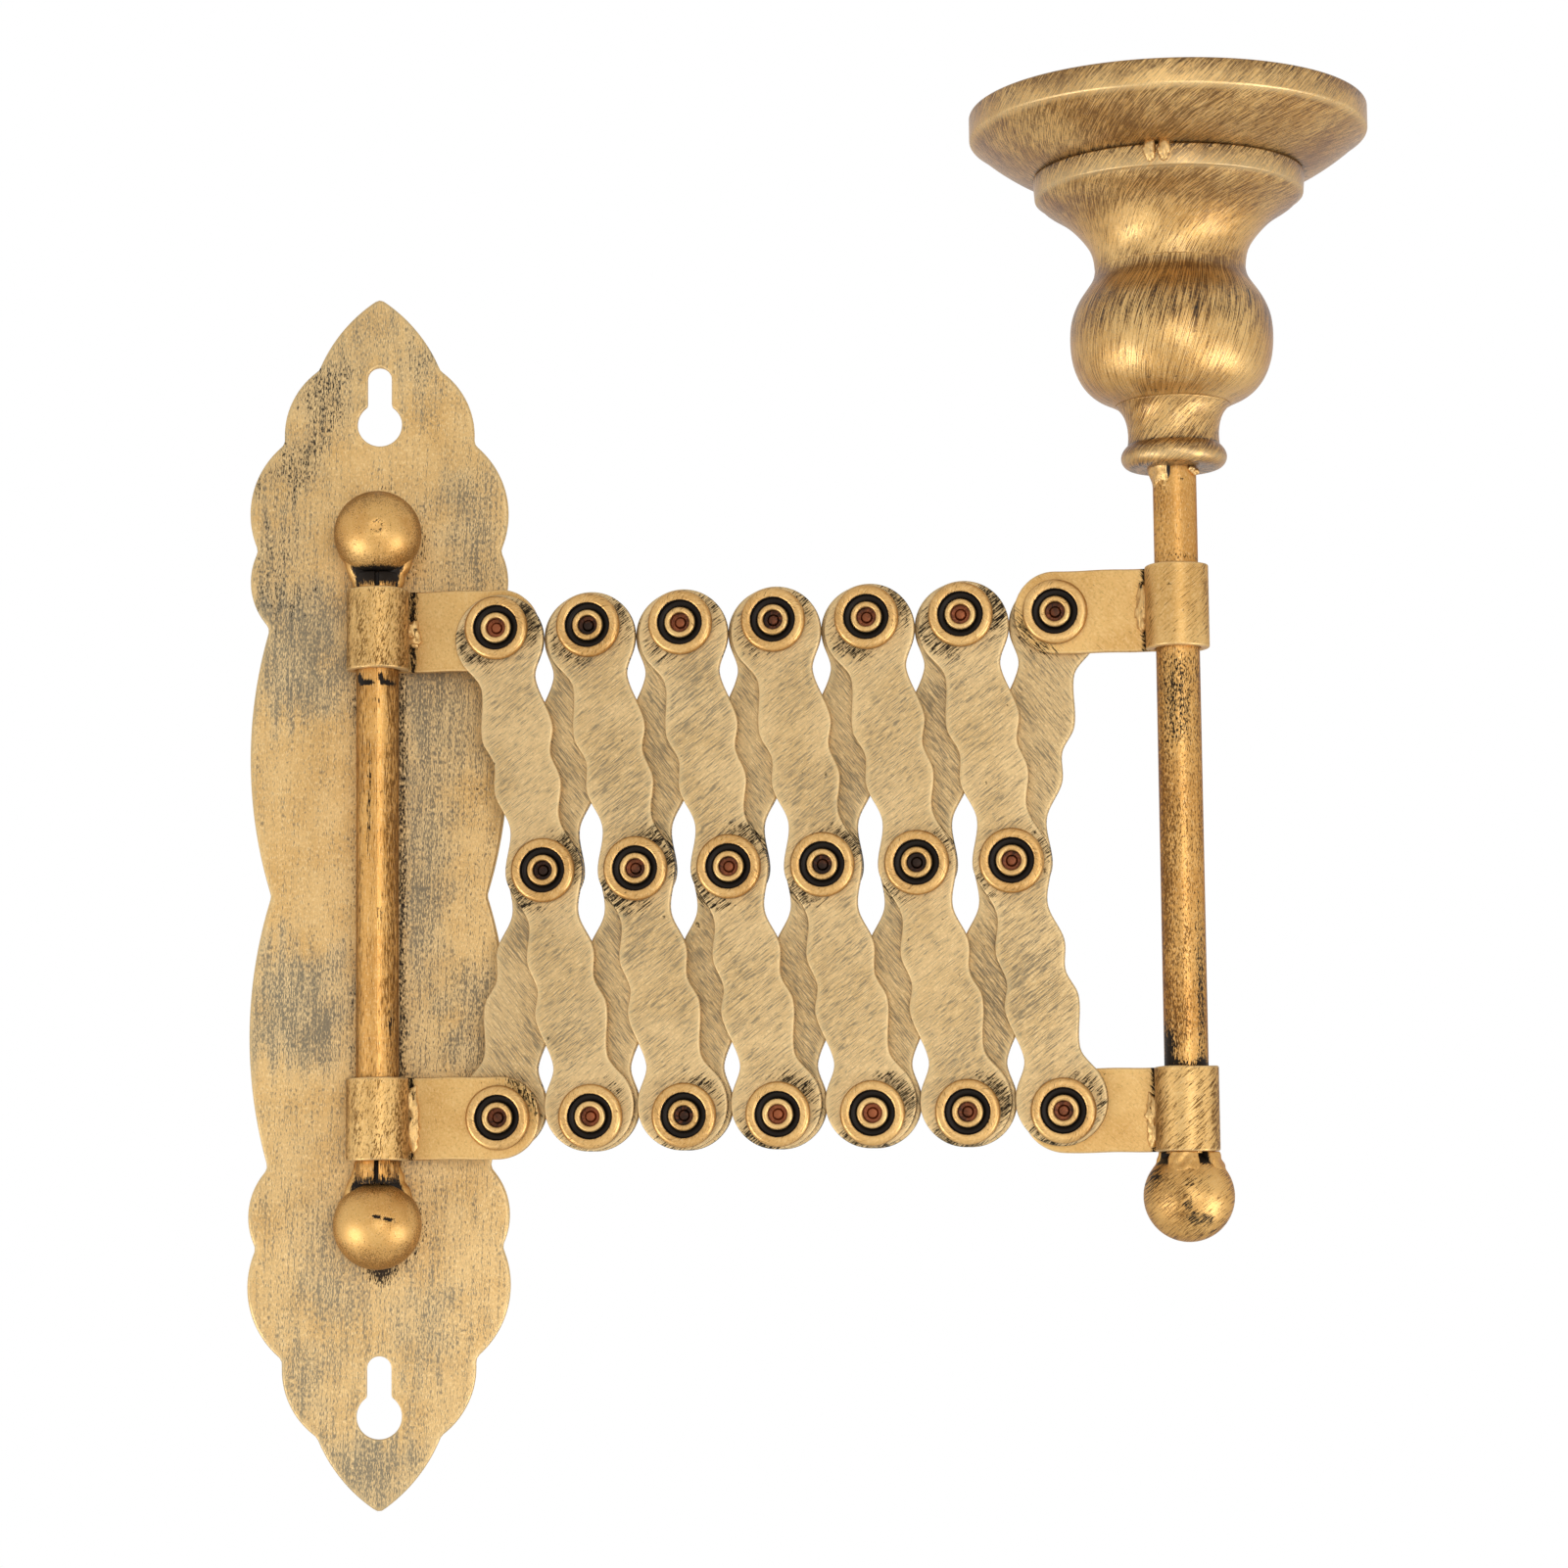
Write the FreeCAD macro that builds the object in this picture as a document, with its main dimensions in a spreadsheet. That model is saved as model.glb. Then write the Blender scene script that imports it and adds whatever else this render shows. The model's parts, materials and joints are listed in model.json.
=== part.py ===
import FreeCAD, Part
import math
import os
import Sketcher
from FreeCAD import Placement, Rotation, Vector

# Swing-out candle sconce: a scalloped wall plate carries an upright pivot tube,
# a lazy-tongs arm of six crossed pairs hangs from it, and the far end of the arm
# holds a candle stem with a turned cup and drip pan.
# Frame: +X along the wall, +Y into the wall, +Z up; the plate's back face is y = 0.

STAGES = 6

# Driving sizes, in millimetres and degrees
SIZES = {
    # wall plate: scallop corners and lobe crests, measured down from the tip
    "plate_length": 207.0,
    "plate_sheet": 1.5,
    "tip_round": 1.2,
    "corner_round": 1.6,
    "notch_1_drop": 12.6,
    "notch_1_half": 10.4,
    "notch_2_drop": 25.5,
    "notch_2_half": 16.2,
    "notch_3_drop": 44.1,
    "notch_3_half": 20.7,
    "notch_4_drop": 57.5,
    "notch_4_half": 18.7,
    "notch_5_half": 18.3,
    "lobe_1_drop": 6.1,
    "lobe_1_half": 6.7,
    "lobe_2_drop": 17.5,
    "lobe_2_half": 14.7,
    "lobe_3_drop": 37.3,
    "lobe_3_half": 22.1,
    "lobe_4_drop": 49.6,
    "lobe_4_half": 22.0,
    "lobe_5_half": 21.9,
    # keyholes for the wall screws, round part first, slot upwards
    "keyhole_top_drop": 22.1,
    "keyhole_low_rise": 15.9,
    "keyhole_r": 3.8,
    "keyhole_slot_half": 2.05,
    "keyhole_slot_rise": 8.0,
    # pivot tube, with its spread foot under the lower collar, and its ball finials
    "tube_foot": 3.75,
    "tube_head": 2.7,
    "ball_r": 7.4,
    "ball_seat": 0.25,
    "tube_r": 3.6,
    "tube_wall": 0.8,
    "spigot_length": 6.0,
    "spread_r": 3.9,
    "spread_top": 2.0,
    "spread_taper": 0.4,
    "slit_width": 0.8,
    "slit_length": 9.0,
    "anchor_r": 1.5,
    "anchor_head_r": 2.8,
    "anchor_sink": 1.0,
    "anchor_grip": 5.0,
    # fits
    "slide_play": 0.15,
    "rest_play": 0.15,
    "pivot_play": 0.05,
    "close_fit": 0.01,
    "pan_clear": 0.8,
    # collars and their tabs, bent from the same strip as the links
    "strip": 1.5,
    "collar_tall": 13.8,
    "tab_inset": 0.4,
    "layer_gap": 0.1,
    # links
    "arm_rise": 3.3,
    "pivot_reach": 20.2,
    "link_half": 42.0,
    "fold_rest": 10.8,
    "end_lobe_r": 7.6,
    "end_lobe_inset": 1.85,
    "end_lobe_join": 60.0,
    "neck_1_in": 9.6,
    "neck_1_half": 4.7,
    "swell_1_in": 18.1,
    "swell_1_half": 6.2,
    "dent_in": 22.7,
    "dent_half": 4.95,
    "swell_2_in": 27.3,
    "swell_2_half": 5.8,
    "neck_2_in": 33.7,
    "neck_2_half": 4.3,
    "mid_lobe_half": 6.6,
    # pivot rivets: hollow eyelet rolled over a dished washer
    "shank_r": 2.2,
    "eyelet_bore_r": 1.6,
    "eyelet_depth": 3.2,
    "lip_r": 2.6,
    "lip_tall": 1.0,
    "lip_round": 0.45,
    "head_r": 4.0,
    "head_tall": 1.0,
    "washer_r": 5.4,
    "washer_dish_r": 3.65,
    "washer_floor": 0.5,
    "washer_tall": 1.6,
    "washer_round": 0.7,
    # candle end, stacked upwards from the foot of the neck ferrule
    "stem_tail": 0.4,
    "stem_show": 15.5,
    "socket_depth": 6.0,
    "flange_foot_r": 7.5,
    "flange_tall": 4.4,
    "flange_round": 2.6,
    "neck_tall": 11.4,
    "neck_top_r": 11.5,
    "neck_round": 6.0,
    "shell_wall": 1.2,
    "bulb_tall": 22.9,
    "bulb_foot_r": 11.8,
    "bulb_round": 13.5,
    "bulb_shoulder_r": 13.9,
    "bulb_shoulder_up": 19.5,
    "bulb_waist_round": 4.5,
    "waist_r": 12.5,
    "tier_tall": 15.7,
    "tier_r": 22.6,
    "tier_cove_r": 14.7,
    "tier_cove_up": 4.8,
    "tier_cove_round": 6.3,
    "tier_edge_r": 20.3,
    "tier_edge_up": 9.4,
    "tier_side_up": 13.0,
    "tier_edge_round": 4.0,
    "pan_r": 33.1,
    "pan_rim_low": 6.7,
    "pan_tall": 11.0,
    "pan_dish_round": 40.0,
    "screw_r": 2.0,
    "screw_play": 0.3,
    "screw_grip": 4.5,
    "screw_slot": 1.0,
    "screw_slot_deep": 0.7,
}

# Sizes that follow from the driving ones
FORMULAS = {
    "tip_up": "plate_length / 2",
    "lobe_5_up": "(plate_length / 2 - notch_4_drop) / 2",
    "axis_out": "plate_sheet + ball_r - ball_seat",
    "bore_r": "tube_r - tube_wall",
    "spigot_r": "tube_r - tube_wall - close_fit",
    "ball_neck_up": "ball_r + sqrt(ball_r ^ 2 - spigot_r ^ 2)",
    "ball_top_up": "ball_neck_up + spigot_length",
    "seat_reach": "sqrt(ball_r ^ 2 - bore_r ^ 2)",
    "slide_bore_r": "tube_r + slide_play",
    "lock_bore_r": "tube_r + close_fit",
    "collar_r": "tube_r + slide_play + strip",
    "pitch": "2 * link_half * sin(fold_rest * 1 deg)",
    "row_half": "link_half * cos(fold_rest * 1 deg)",
    "tube_foot_up": "arm_rise - row_half - collar_tall / 2 - rest_play - tube_foot",
    "tube_head_up": "arm_rise + row_half + collar_tall / 2 + tube_head",
    "tube_length": "tube_head_up - tube_foot_up",
    "lower_ball_up": "tube_foot_up - seat_reach",
    "upper_ball_up": "tube_head_up + seat_reach",
    "spread_low_end": "tube_foot - spread_taper",
    "spread_low_taper": "tube_foot",
    "spread_top_taper": "tube_length - spread_top",
    "spread_top_end": "tube_length - spread_top + spread_taper",
    "anchor_end": "plate_sheet + anchor_grip",
    "layer_plane": "collar_r - tab_inset - strip - layer_gap / 2",
    "rear_face": "layer_plane + layer_gap / 2",
    "front_face": "layer_plane - layer_gap / 2 - strip",
    "stem_reach": "2 * pivot_reach + {stages} * pitch",
    "arm_sin": "(pan_r + pan_clear - axis_out) / stem_reach",
    "arm_cos": "sqrt(1 - arm_sin ^ 2)",
    "link_hole_r": "shank_r + pivot_play",
    "grip": "2 * strip + layer_gap + pivot_play",
    "rivet_floor": "head_tall + grip + washer_floor",
    "rivet_top": "rivet_floor + lip_tall",
    "rivet_lip_side": "rivet_top - lip_round",
    "lip_in_r": "eyelet_bore_r + lip_round",
    "lip_out_r": "lip_r - lip_round",
    "rivet_bore_up": "rivet_top - eyelet_depth",
    "washer_hole_r": "shank_r + close_fit",
    "washer_in_top_r": "washer_dish_r + washer_round",
    "washer_out_top_r": "washer_r - washer_round",
    "washer_side": "washer_tall - washer_round",
    "stem_foot_up": "arm_rise - row_half - collar_tall / 2 - stem_tail",
    "stem_ball_foot": "stem_foot_up - seat_reach - ball_r",
    "cup_foot_up": "arm_rise + row_half + collar_tall / 2 + stem_show",
    "stem_length": "cup_foot_up + socket_depth - stem_foot_up",
    "bulb_foot_up": "cup_foot_up + neck_tall",
    "tier_foot_up": "bulb_foot_up + bulb_tall",
    "pan_foot_up": "tier_foot_up + tier_tall",
    "thread_r": "screw_r + close_fit",
    "screw_hole_r": "screw_r + screw_play",
    "screw_head_r": "screw_r + shell_wall",
    "screw_sink_r": "screw_head_r + close_fit",
    "screw_length": "screw_grip + bulb_tall + tier_tall",
    "screw_top": "screw_length + shell_wall",
    "screw_foot_up": "cup_foot_up + neck_tall - screw_grip",
    "bulb_in_foot_r": "bulb_foot_r - shell_wall",
    "bulb_in_shoulder_r": "bulb_shoulder_r - shell_wall",
    "bulb_in_round": "bulb_round - shell_wall",
    "bulb_roof": "bulb_tall - shell_wall",
    "waist_in_r": "waist_r - shell_wall",
    "tier_in_cove_r": "tier_cove_r - shell_wall",
    "tier_in_cove_up": "tier_cove_up + shell_wall / 2",
    "tier_in_edge_r": "tier_edge_r - shell_wall",
    "tier_in_edge_up": "tier_edge_up + shell_wall / 2",
    "tier_in_side_r": "tier_r - shell_wall",
    "pan_in_r": "pan_r - shell_wall",
    "pan_in_low": "pan_rim_low + shell_wall / 2",
    "pan_floor_r": "tier_r - shell_wall / 2",
}

os.makedirs("parts", exist_ok=True)
doc = FreeCAD.newDocument("sconce")
sheet = doc.addObject("Spreadsheet::Sheet", "Sheet")


def fill_sheet():
    """Write every size to the sheet under its own alias."""
    row = 1
    for name, value in SIZES.items():
        sheet.set("A%d" % row, name)
        sheet.set("B%d" % row, str(value))
        sheet.setAlias("B%d" % row, name)
        row += 1
    for name, formula in FORMULAS.items():
        sheet.set("A%d" % row, name)
        sheet.set("B%d" % row, "=" + formula.format(stages=STAGES))
        sheet.setAlias("B%d" % row, name)
        row += 1
    doc.recompute()


fill_sheet()


def size(name):
    """Value of a sheet cell."""
    return float(sheet.get(name))


def bind(item, **formulas):
    """Tie properties of an object to formulas on the sheet."""
    for prop, formula in formulas.items():
        item.setExpression(prop.replace("__", "."), formula)


def cell(name):
    """Name of a sheet cell as other objects write it."""
    return "Sheet." + name


SWING_REST = math.degrees(math.asin(size("arm_sin")))
FOLD_REST = size("fold_rest")


def put(item, across="0", out="0", up="0", turn=None):
    """Place an object by three formulas along X, Y and Z and a rotation."""
    item.Placement = Placement(Vector(), turn or Rotation())
    bind(item, Placement__Base__x=across, Placement__Base__y=out, Placement__Base__z=up)


def put_on_arm(item, along, back, up, lean=0.0, roll=0.0):
    """Place an object in the arm's own directions.

    along runs from the pivot tube to the stem, back runs towards the wall and
    lean tips the object in the arm's plane.
    """
    across = "(%s) * Sheet.arm_cos + (%s) * Sheet.arm_sin" % (along, back)
    out = "-Sheet.axis_out - (%s) * Sheet.arm_sin + (%s) * Sheet.arm_cos" % (along, back)
    put(item, across, out, up, Rotation(-SWING_REST, lean, roll))


# Profiles and turned pieces
def arc_between(start, end, radius, side):
    """Arc of a given radius between two points, bowed to the right (1) or left (-1).

    It always runs counter-clockwise, so a left-bowed arc starts at its end point.
    """
    chord = end - start
    bow = Vector(chord.y, -chord.x, 0).normalize() * side
    if chord.Length / 2 > radius:
        raise ValueError("an arc is too tight for its ends")
    to_centre = math.sqrt(radius ** 2 - (chord.Length / 2) ** 2)
    crest = (start + end) / 2 + bow * (radius - to_centre)
    if side > 0:
        return Part.Arc(start, crest, end)
    return Part.Arc(end, crest, start)


def reach(name):
    """Value of a profile coordinate, where "0" is the axis or the foot."""
    return 0.0 if name == "0" else size(name)


def pin_point(sketch, edge, end, kind, name):
    """Hold one coordinate of an edge's end at a size from the sheet."""
    if name == "0":
        axis = -2 if kind == "DistanceX" else -1
        sketch.addConstraint(Sketcher.Constraint("PointOnObject", edge, end, axis))
        return
    row = sketch.addConstraint(Sketcher.Constraint(kind, -1, 1, edge, end, size(name)))
    sketch.setExpression("Constraints[%d]" % row, cell(name))


def turned(label, profile):
    """Body turned about Z from a closed profile.

    Each entry is (radius, height) or (radius, height, arc radius, side), all names
    of sheet cells; the arc runs to the next entry.
    """
    body = doc.addObject("PartDesign::Body", label)
    plane = [o for o in body.Origin.OriginFeatures if o.Role == "XZ_Plane"][0]
    sketch = body.newObject("Sketcher::SketchObject", label + "_profile")
    sketch.AttachmentSupport = [(plane, "")]
    sketch.MapMode = "FlatFace"
    points = [Vector(reach(entry[0]), reach(entry[1]), 0) for entry in profile]
    count = len(profile)
    for i, entry in enumerate(profile):
        start, end = points[i], points[(i + 1) % count]
        if len(entry) == 2:
            sketch.addGeometry(Part.LineSegment(start, end))
        else:
            sketch.addGeometry(arc_between(start, end, size(entry[2]), entry[3]))
    starts = [2 if len(entry) > 2 and entry[3] < 0 else 1 for entry in profile]
    for i in range(count):
        follow = (i + 1) % count
        joint = Sketcher.Constraint("Coincident", i, 3 - starts[i], follow, starts[follow])
        sketch.addConstraint(joint)
    for i, entry in enumerate(profile):
        for kind, name in (("DistanceX", entry[0]), ("DistanceY", entry[1])):
            pin_point(sketch, i, starts[i], kind, name)
        if len(entry) > 2:
            row = sketch.addConstraint(Sketcher.Constraint("Radius", i, size(entry[2])))
            sketch.setExpression("Constraints[%d]" % row, cell(entry[2]))
    solid = body.newObject("PartDesign::Revolution", label + "_turned")
    solid.Profile = sketch
    solid.ReferenceAxis = (sketch, ["V_Axis"])
    solid.Angle = 360.0
    doc.recompute()
    return body


# Primitives and booleans
def cylinder(label, radius, height, **place):
    """Cylinder bound to formulas."""
    item = doc.addObject("Part::Cylinder", label)
    bind(item, Radius=radius, Height=height)
    put(item, **place)
    return item


def block(label, length, width, height, **place):
    """Box bound to formulas, with its corner at the given place."""
    item = doc.addObject("Part::Box", label)
    bind(item, Length=length, Width=width, Height=height)
    put(item, **place)
    return item


def joined(label, pieces):
    """Fusion of several objects."""
    item = doc.addObject("Part::MultiFuse", label)
    item.Shapes = pieces
    return item


def cut(label, base, tool):
    """Base object less a tool."""
    item = doc.addObject("Part::Cut", label)
    item.Base = base
    item.Tool = tool
    return item


def group(label, master, seats):
    """Node of equal pieces: one link to the master for each seat."""
    links = []
    for i, seat in enumerate(seats):
        link = doc.addObject("App::Link", "%s_%d" % (label, i + 1))
        link.LinkedObject = master
        put_on_arm(link, **seat)
        links.append(link)
    node = doc.addObject("Part::Compound", label)
    node.Links = links
    return node


nodes = []


def keep(item):
    """Add an object to the pieces that are written out."""
    nodes.append(item)
    return item


TO_FRONT = Rotation(0, 0, 90)
TO_WALL = Rotation(0, 0, -90)
UPSIDE_DOWN = Rotation(0, 180, 0)


# Wall plate
def plate_outline():
    """Closed scalloped outline: one arc for each lobe, mirrored about both axes."""
    tip = size("tip_up")
    corners = [Vector(0, 0, tip)]
    crests = []
    for i in range(1, 5):
        corners.append(Vector(size("notch_%d_half" % i), 0, tip - size("notch_%d_drop" % i)))
        crests.append(Vector(size("lobe_%d_half" % i), 0, tip - size("lobe_%d_drop" % i)))
    corners.append(Vector(size("notch_5_half"), 0, 0))
    crests.append(Vector(size("lobe_5_half"), 0, size("lobe_5_up")))
    quarter = [Part.Arc(corners[i], crests[i], corners[i + 1]).toShape() for i in range(5)]
    lower = [edge.mirror(Vector(), Vector(0, 0, 1)) for edge in quarter]
    right = quarter + lower
    left = [edge.mirror(Vector(), Vector(1, 0, 0)) for edge in right]
    face = Part.Face(Part.Wire(Part.__sortEdges__(right + left)))
    face = face.makeOffset2D(size("corner_round")).makeOffset2D(-size("corner_round"))
    return face.makeOffset2D(-size("tip_round")).makeOffset2D(size("tip_round"))


def keyhole(label, up):
    """Cutter for one keyhole: a round hole with a narrower slot above it."""
    through = "3 * Sheet.plate_sheet"
    start = dict(out="Sheet.plate_sheet", turn=TO_FRONT)
    hole = cylinder(label + "_hole", "Sheet.keyhole_r", through, up=up, **start)
    slot_up = "%s + Sheet.keyhole_slot_rise" % up
    end = cylinder(label + "_end", "Sheet.keyhole_slot_half", through, up=slot_up, **start)
    slot = block(label + "_slot", "2 * Sheet.keyhole_slot_half", through,
                 "Sheet.keyhole_slot_rise", across="-Sheet.keyhole_slot_half",
                 out="-2 * Sheet.plate_sheet", up=up)
    return [hole, end, slot]


BALL_UPS = {
    "upper": "Sheet.upper_ball_up",
    "lower": "Sheet.lower_ball_up",
}


def anchor_hole(label, up):
    """Cutter for one countersunk anchor rivet in the plate."""
    bore = cylinder(label + "_bore", "Sheet.anchor_r + Sheet.close_fit", "3 * Sheet.plate_sheet",
                    out="Sheet.plate_sheet", up=up, turn=TO_FRONT)
    sink = doc.addObject("Part::Cone", label + "_sink")
    bind(sink, Radius1="Sheet.anchor_head_r + Sheet.close_fit",
         Radius2="Sheet.anchor_r + Sheet.close_fit", Height="Sheet.anchor_sink")
    put(sink, up=up, turn=TO_FRONT)
    return [bore, sink]


def build_plate():
    """Scalloped plate with keyholes and countersunk anchor holes."""
    outline = doc.addObject("Part::Feature", "plate_outline")
    outline.Shape = plate_outline()
    sheet_metal = doc.addObject("Part::Extrusion", "plate_blank")
    sheet_metal.Base = outline
    sheet_metal.DirMode = "Custom"
    sheet_metal.Dir = Vector(0, -1, 0)
    sheet_metal.Solid = True
    bind(sheet_metal, LengthFwd="Sheet.plate_sheet")
    cutters = keyhole("keyhole_top", "Sheet.tip_up - Sheet.keyhole_top_drop")
    cutters += keyhole("keyhole_low", "-Sheet.tip_up + Sheet.keyhole_low_rise")
    for name, up in BALL_UPS.items():
        cutters += anchor_hole("anchor_%s" % name, up)
    keep(cut("backplate", sheet_metal, joined("plate_cutters", cutters)))


# Pivot tube, stem tube and ball finials
def build_tubes():
    """Pivot tube with spread, slit ends, and the plain candle stem."""
    profile = [
        ("bore_r", "0"),
        ("spread_r", "0"),
        ("spread_r", "spread_low_end"),
        ("tube_r", "spread_low_taper"),
        ("tube_r", "spread_top_taper"),
        ("spread_r", "spread_top_end"),
        ("spread_r", "tube_length"),
        ("bore_r", "tube_length"),
    ]
    tube = turned("pivot_tube_blank", profile)
    slits = []
    for name, up in (("low", "0"), ("top", "Sheet.tube_length - Sheet.slit_length")):
        slits.append(block("slit_" + name, "Sheet.slit_width", "2 * Sheet.spread_r",
                           "Sheet.slit_length", across="-Sheet.slit_width / 2",
                           out="-2 * Sheet.spread_r", up=up))
    slit_tube = keep(cut("pivot_tube", tube, joined("tube_slits", slits)))
    put(slit_tube, out="-Sheet.axis_out", up="Sheet.tube_foot_up")
    stem = keep(turned("candle_stem", [
        ("bore_r", "0"),
        ("tube_r", "0"),
        ("tube_r", "stem_length"),
        ("bore_r", "stem_length"),
    ]))
    put_on_arm(stem, "Sheet.stem_reach", "0", "Sheet.stem_foot_up")


BALL_PROFILE = [
    ("0", "0", "ball_r", 1),
    ("spigot_r", "ball_neck_up"),
    ("spigot_r", "ball_top_up"),
    ("0", "ball_top_up"),
]


def build_balls():
    """Two finials pinned to the plate and a third on the stem's foot."""
    for name, up in BALL_UPS.items():
        ball = turned(name + "_ball_turned", BALL_PROFILE)
        pin_hole = cylinder(name + "_ball_pin_hole", "Sheet.anchor_r + Sheet.close_fit",
                            "Sheet.anchor_grip + Sheet.ball_seat + Sheet.rest_play",
                            out="Sheet.ball_r", up="Sheet.ball_r", turn=TO_FRONT)
        flat = block(name + "_ball_flat", "2 * Sheet.ball_r", "Sheet.ball_r", "2 * Sheet.ball_r",
                     across="-Sheet.ball_r", out="Sheet.ball_r - Sheet.ball_seat")
        cutter = joined(name + "_ball_cutter", [pin_hole, flat])
        finial = keep(cut(name + "_ball_finial", ball, cutter))
        if name == "upper":
            put(finial, out="-Sheet.axis_out", up=up + " + Sheet.ball_r", turn=UPSIDE_DOWN)
        else:
            put(finial, out="-Sheet.axis_out", up=up + " - Sheet.ball_r")
    stem_ball = keep(turned("stem_ball_finial", BALL_PROFILE))
    put_on_arm(stem_ball, "Sheet.stem_reach", "0", "Sheet.stem_ball_foot")


def build_anchors():
    """Flush countersunk rivets that hold the two finials to the plate."""
    anchor = turned("anchor_master", [
        ("0", "0"),
        ("anchor_head_r", "0"),
        ("anchor_r", "anchor_sink"),
        ("anchor_r", "anchor_end"),
        ("0", "anchor_end"),
    ])
    links = []
    for name, up in BALL_UPS.items():
        link = doc.addObject("App::Link", "anchor_rivet_" + name)
        link.LinkedObject = anchor
        put(link, up=up, turn=TO_FRONT)
        links.append(link)
    node = keep(doc.addObject("Part::Compound", "anchor_rivets"))
    node.Links = links


# Collars
ROWS = {"upper": "Sheet.arm_rise + Sheet.row_half", "lower": "Sheet.arm_rise - Sheet.row_half"}


def build_collar(label, row, at_stem, rear, bore):
    """Strap collar round a tube with a flat tab that ends at a pivot rivet."""
    sign = "-1" if at_stem else "1"
    face = "Sheet.rear_face" if rear else "Sheet.front_face"
    foot = "-Sheet.collar_tall / 2"
    loop = cylinder(label + "_loop", "Sheet.collar_r", "Sheet.collar_tall", up=foot)
    start = "-Sheet.pivot_reach" if at_stem else "0"
    tab = block(label + "_tab", "Sheet.pivot_reach", "Sheet.strip", "Sheet.collar_tall",
                across=start, out=face, up=foot)
    pivot = "%s * Sheet.pivot_reach" % sign
    tab_end = cylinder(label + "_tab_end", "Sheet.collar_tall / 2", "Sheet.strip",
                       across=pivot, out=face + " + Sheet.strip", turn=TO_FRONT)
    solid = joined(label + "_solid", [loop, tab, tab_end])
    tube_hole = cylinder(label + "_bore", bore, "2 * Sheet.collar_tall", up="-Sheet.collar_tall")
    rivet_hole = cylinder(label + "_rivet_hole", "Sheet.link_hole_r", "4 * Sheet.strip",
                          across=pivot, out=face + " + 2 * Sheet.strip", turn=TO_FRONT)
    collar = keep(cut(label, solid, joined(label + "_cutter", [tube_hole, rivet_hole])))
    put_on_arm(collar, "Sheet.stem_reach" if at_stem else "0", "0", ROWS[row])


def build_collars():
    """Two collars on the pivot tube, two on the stem; the stem's lower one is locked."""
    build_collar("lower_wall_collar", "lower", False, False, "Sheet.slide_bore_r")
    build_collar("upper_wall_collar", "upper", False, True, "Sheet.slide_bore_r")
    build_collar("lower_stem_collar", "lower", True, True, "Sheet.lock_bore_r")
    build_collar("upper_stem_collar", "upper", True, False, "Sheet.slide_bore_r")


# Links
def link_outline():
    """Outline of one link, upright about its middle hole, with its three holes.

    The round of each end is centred a little nearer the middle than the end hole.
    """
    half = size("link_half")
    lobe = size("end_lobe_r")
    lobe_up = half - size("end_lobe_inset")
    join = math.radians(size("end_lobe_join"))
    joint = Vector(lobe * math.sin(join), 0, lobe_up - lobe * math.cos(join))
    stations = [Vector(size("mid_lobe_half"), 0, 0)]
    for name in ("neck_2", "swell_2", "dent", "swell_1", "neck_1"):
        stations.append(Vector(size(name + "_half"), 0, half - size(name + "_in")))
    upper = stations[1:] + [joint]
    lower = [Vector(p.x, 0, -p.z) for p in reversed(upper)]
    points = lower + [stations[0]] + upper
    along = Vector(0, 0, 1)
    leave = Vector(math.cos(join), 0, math.sin(join))
    enter = Vector(-leave.x, 0, leave.z)
    tangents = [enter] + [along] * (len(points) - 2) + [leave]
    side = Part.BSplineCurve()
    side.interpolate(Points=points, Tangents=tangents, TangentFlags=[True] * len(points))
    right = side.toShape()
    left = right.mirror(Vector(), Vector(1, 0, 0))
    crown = Part.Arc(joint, Vector(0, 0, lobe_up + lobe), Vector(-joint.x, 0, joint.z)).toShape()
    heel = crown.mirror(Vector(), Vector(0, 0, 1))
    outer = Part.Wire(Part.__sortEdges__([right, crown, left, heel]))
    holes = []
    for up in (-half, 0.0, half):
        circle = Part.Circle(Vector(0, 0, up), Vector(0, 1, 0), size("link_hole_r"))
        holes.append(Part.Wire(circle.toShape()))
    face = Part.Face([outer] + holes)
    face.validate()
    return face


def along_arm(count):
    """Formula for the distance from the pivot tube to a pivot, counted in pitches."""
    return "Sheet.pivot_reach + %s * Sheet.pitch" % count


def build_links():
    """Front and rear links of every crossed pair."""
    outline = doc.addObject("Part::Feature", "link_outline")
    outline.Shape = link_outline()
    layers = (("front", "Sheet.front_face", -FOLD_REST), ("rear", "Sheet.rear_face", FOLD_REST))
    for stage in range(STAGES):
        for layer, face, lean in layers:
            link = keep(doc.addObject("Part::Extrusion", "%s_link_%d" % (layer, stage + 1)))
            link.Base = outline
            link.DirMode = "Custom"
            link.Dir = Vector(0, 1, 0)
            link.Solid = True
            bind(link, LengthFwd="Sheet.strip")
            put_on_arm(link, along_arm(stage + 0.5), face, "Sheet.arm_rise", lean)


# Pivot rivets
RIVET_PROFILE = [
    ("0", "0"),
    ("head_r", "0"),
    ("head_r", "head_tall"),
    ("shank_r", "head_tall"),
    ("shank_r", "rivet_floor"),
    ("lip_r", "rivet_floor"),
    ("lip_r", "rivet_lip_side", "lip_round", 1),
    ("lip_out_r", "rivet_top"),
    ("lip_in_r", "rivet_top", "lip_round", 1),
    ("eyelet_bore_r", "rivet_lip_side"),
    ("eyelet_bore_r", "rivet_bore_up"),
    ("0", "rivet_bore_up"),
]

WASHER_PROFILE = [
    ("washer_hole_r", "0"),
    ("washer_r", "0"),
    ("washer_r", "washer_side", "washer_round", 1),
    ("washer_out_top_r", "washer_tall"),
    ("washer_in_top_r", "washer_tall", "washer_round", 1),
    ("washer_dish_r", "washer_side"),
    ("washer_dish_r", "washer_floor"),
    ("washer_hole_r", "washer_floor"),
]


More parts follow.
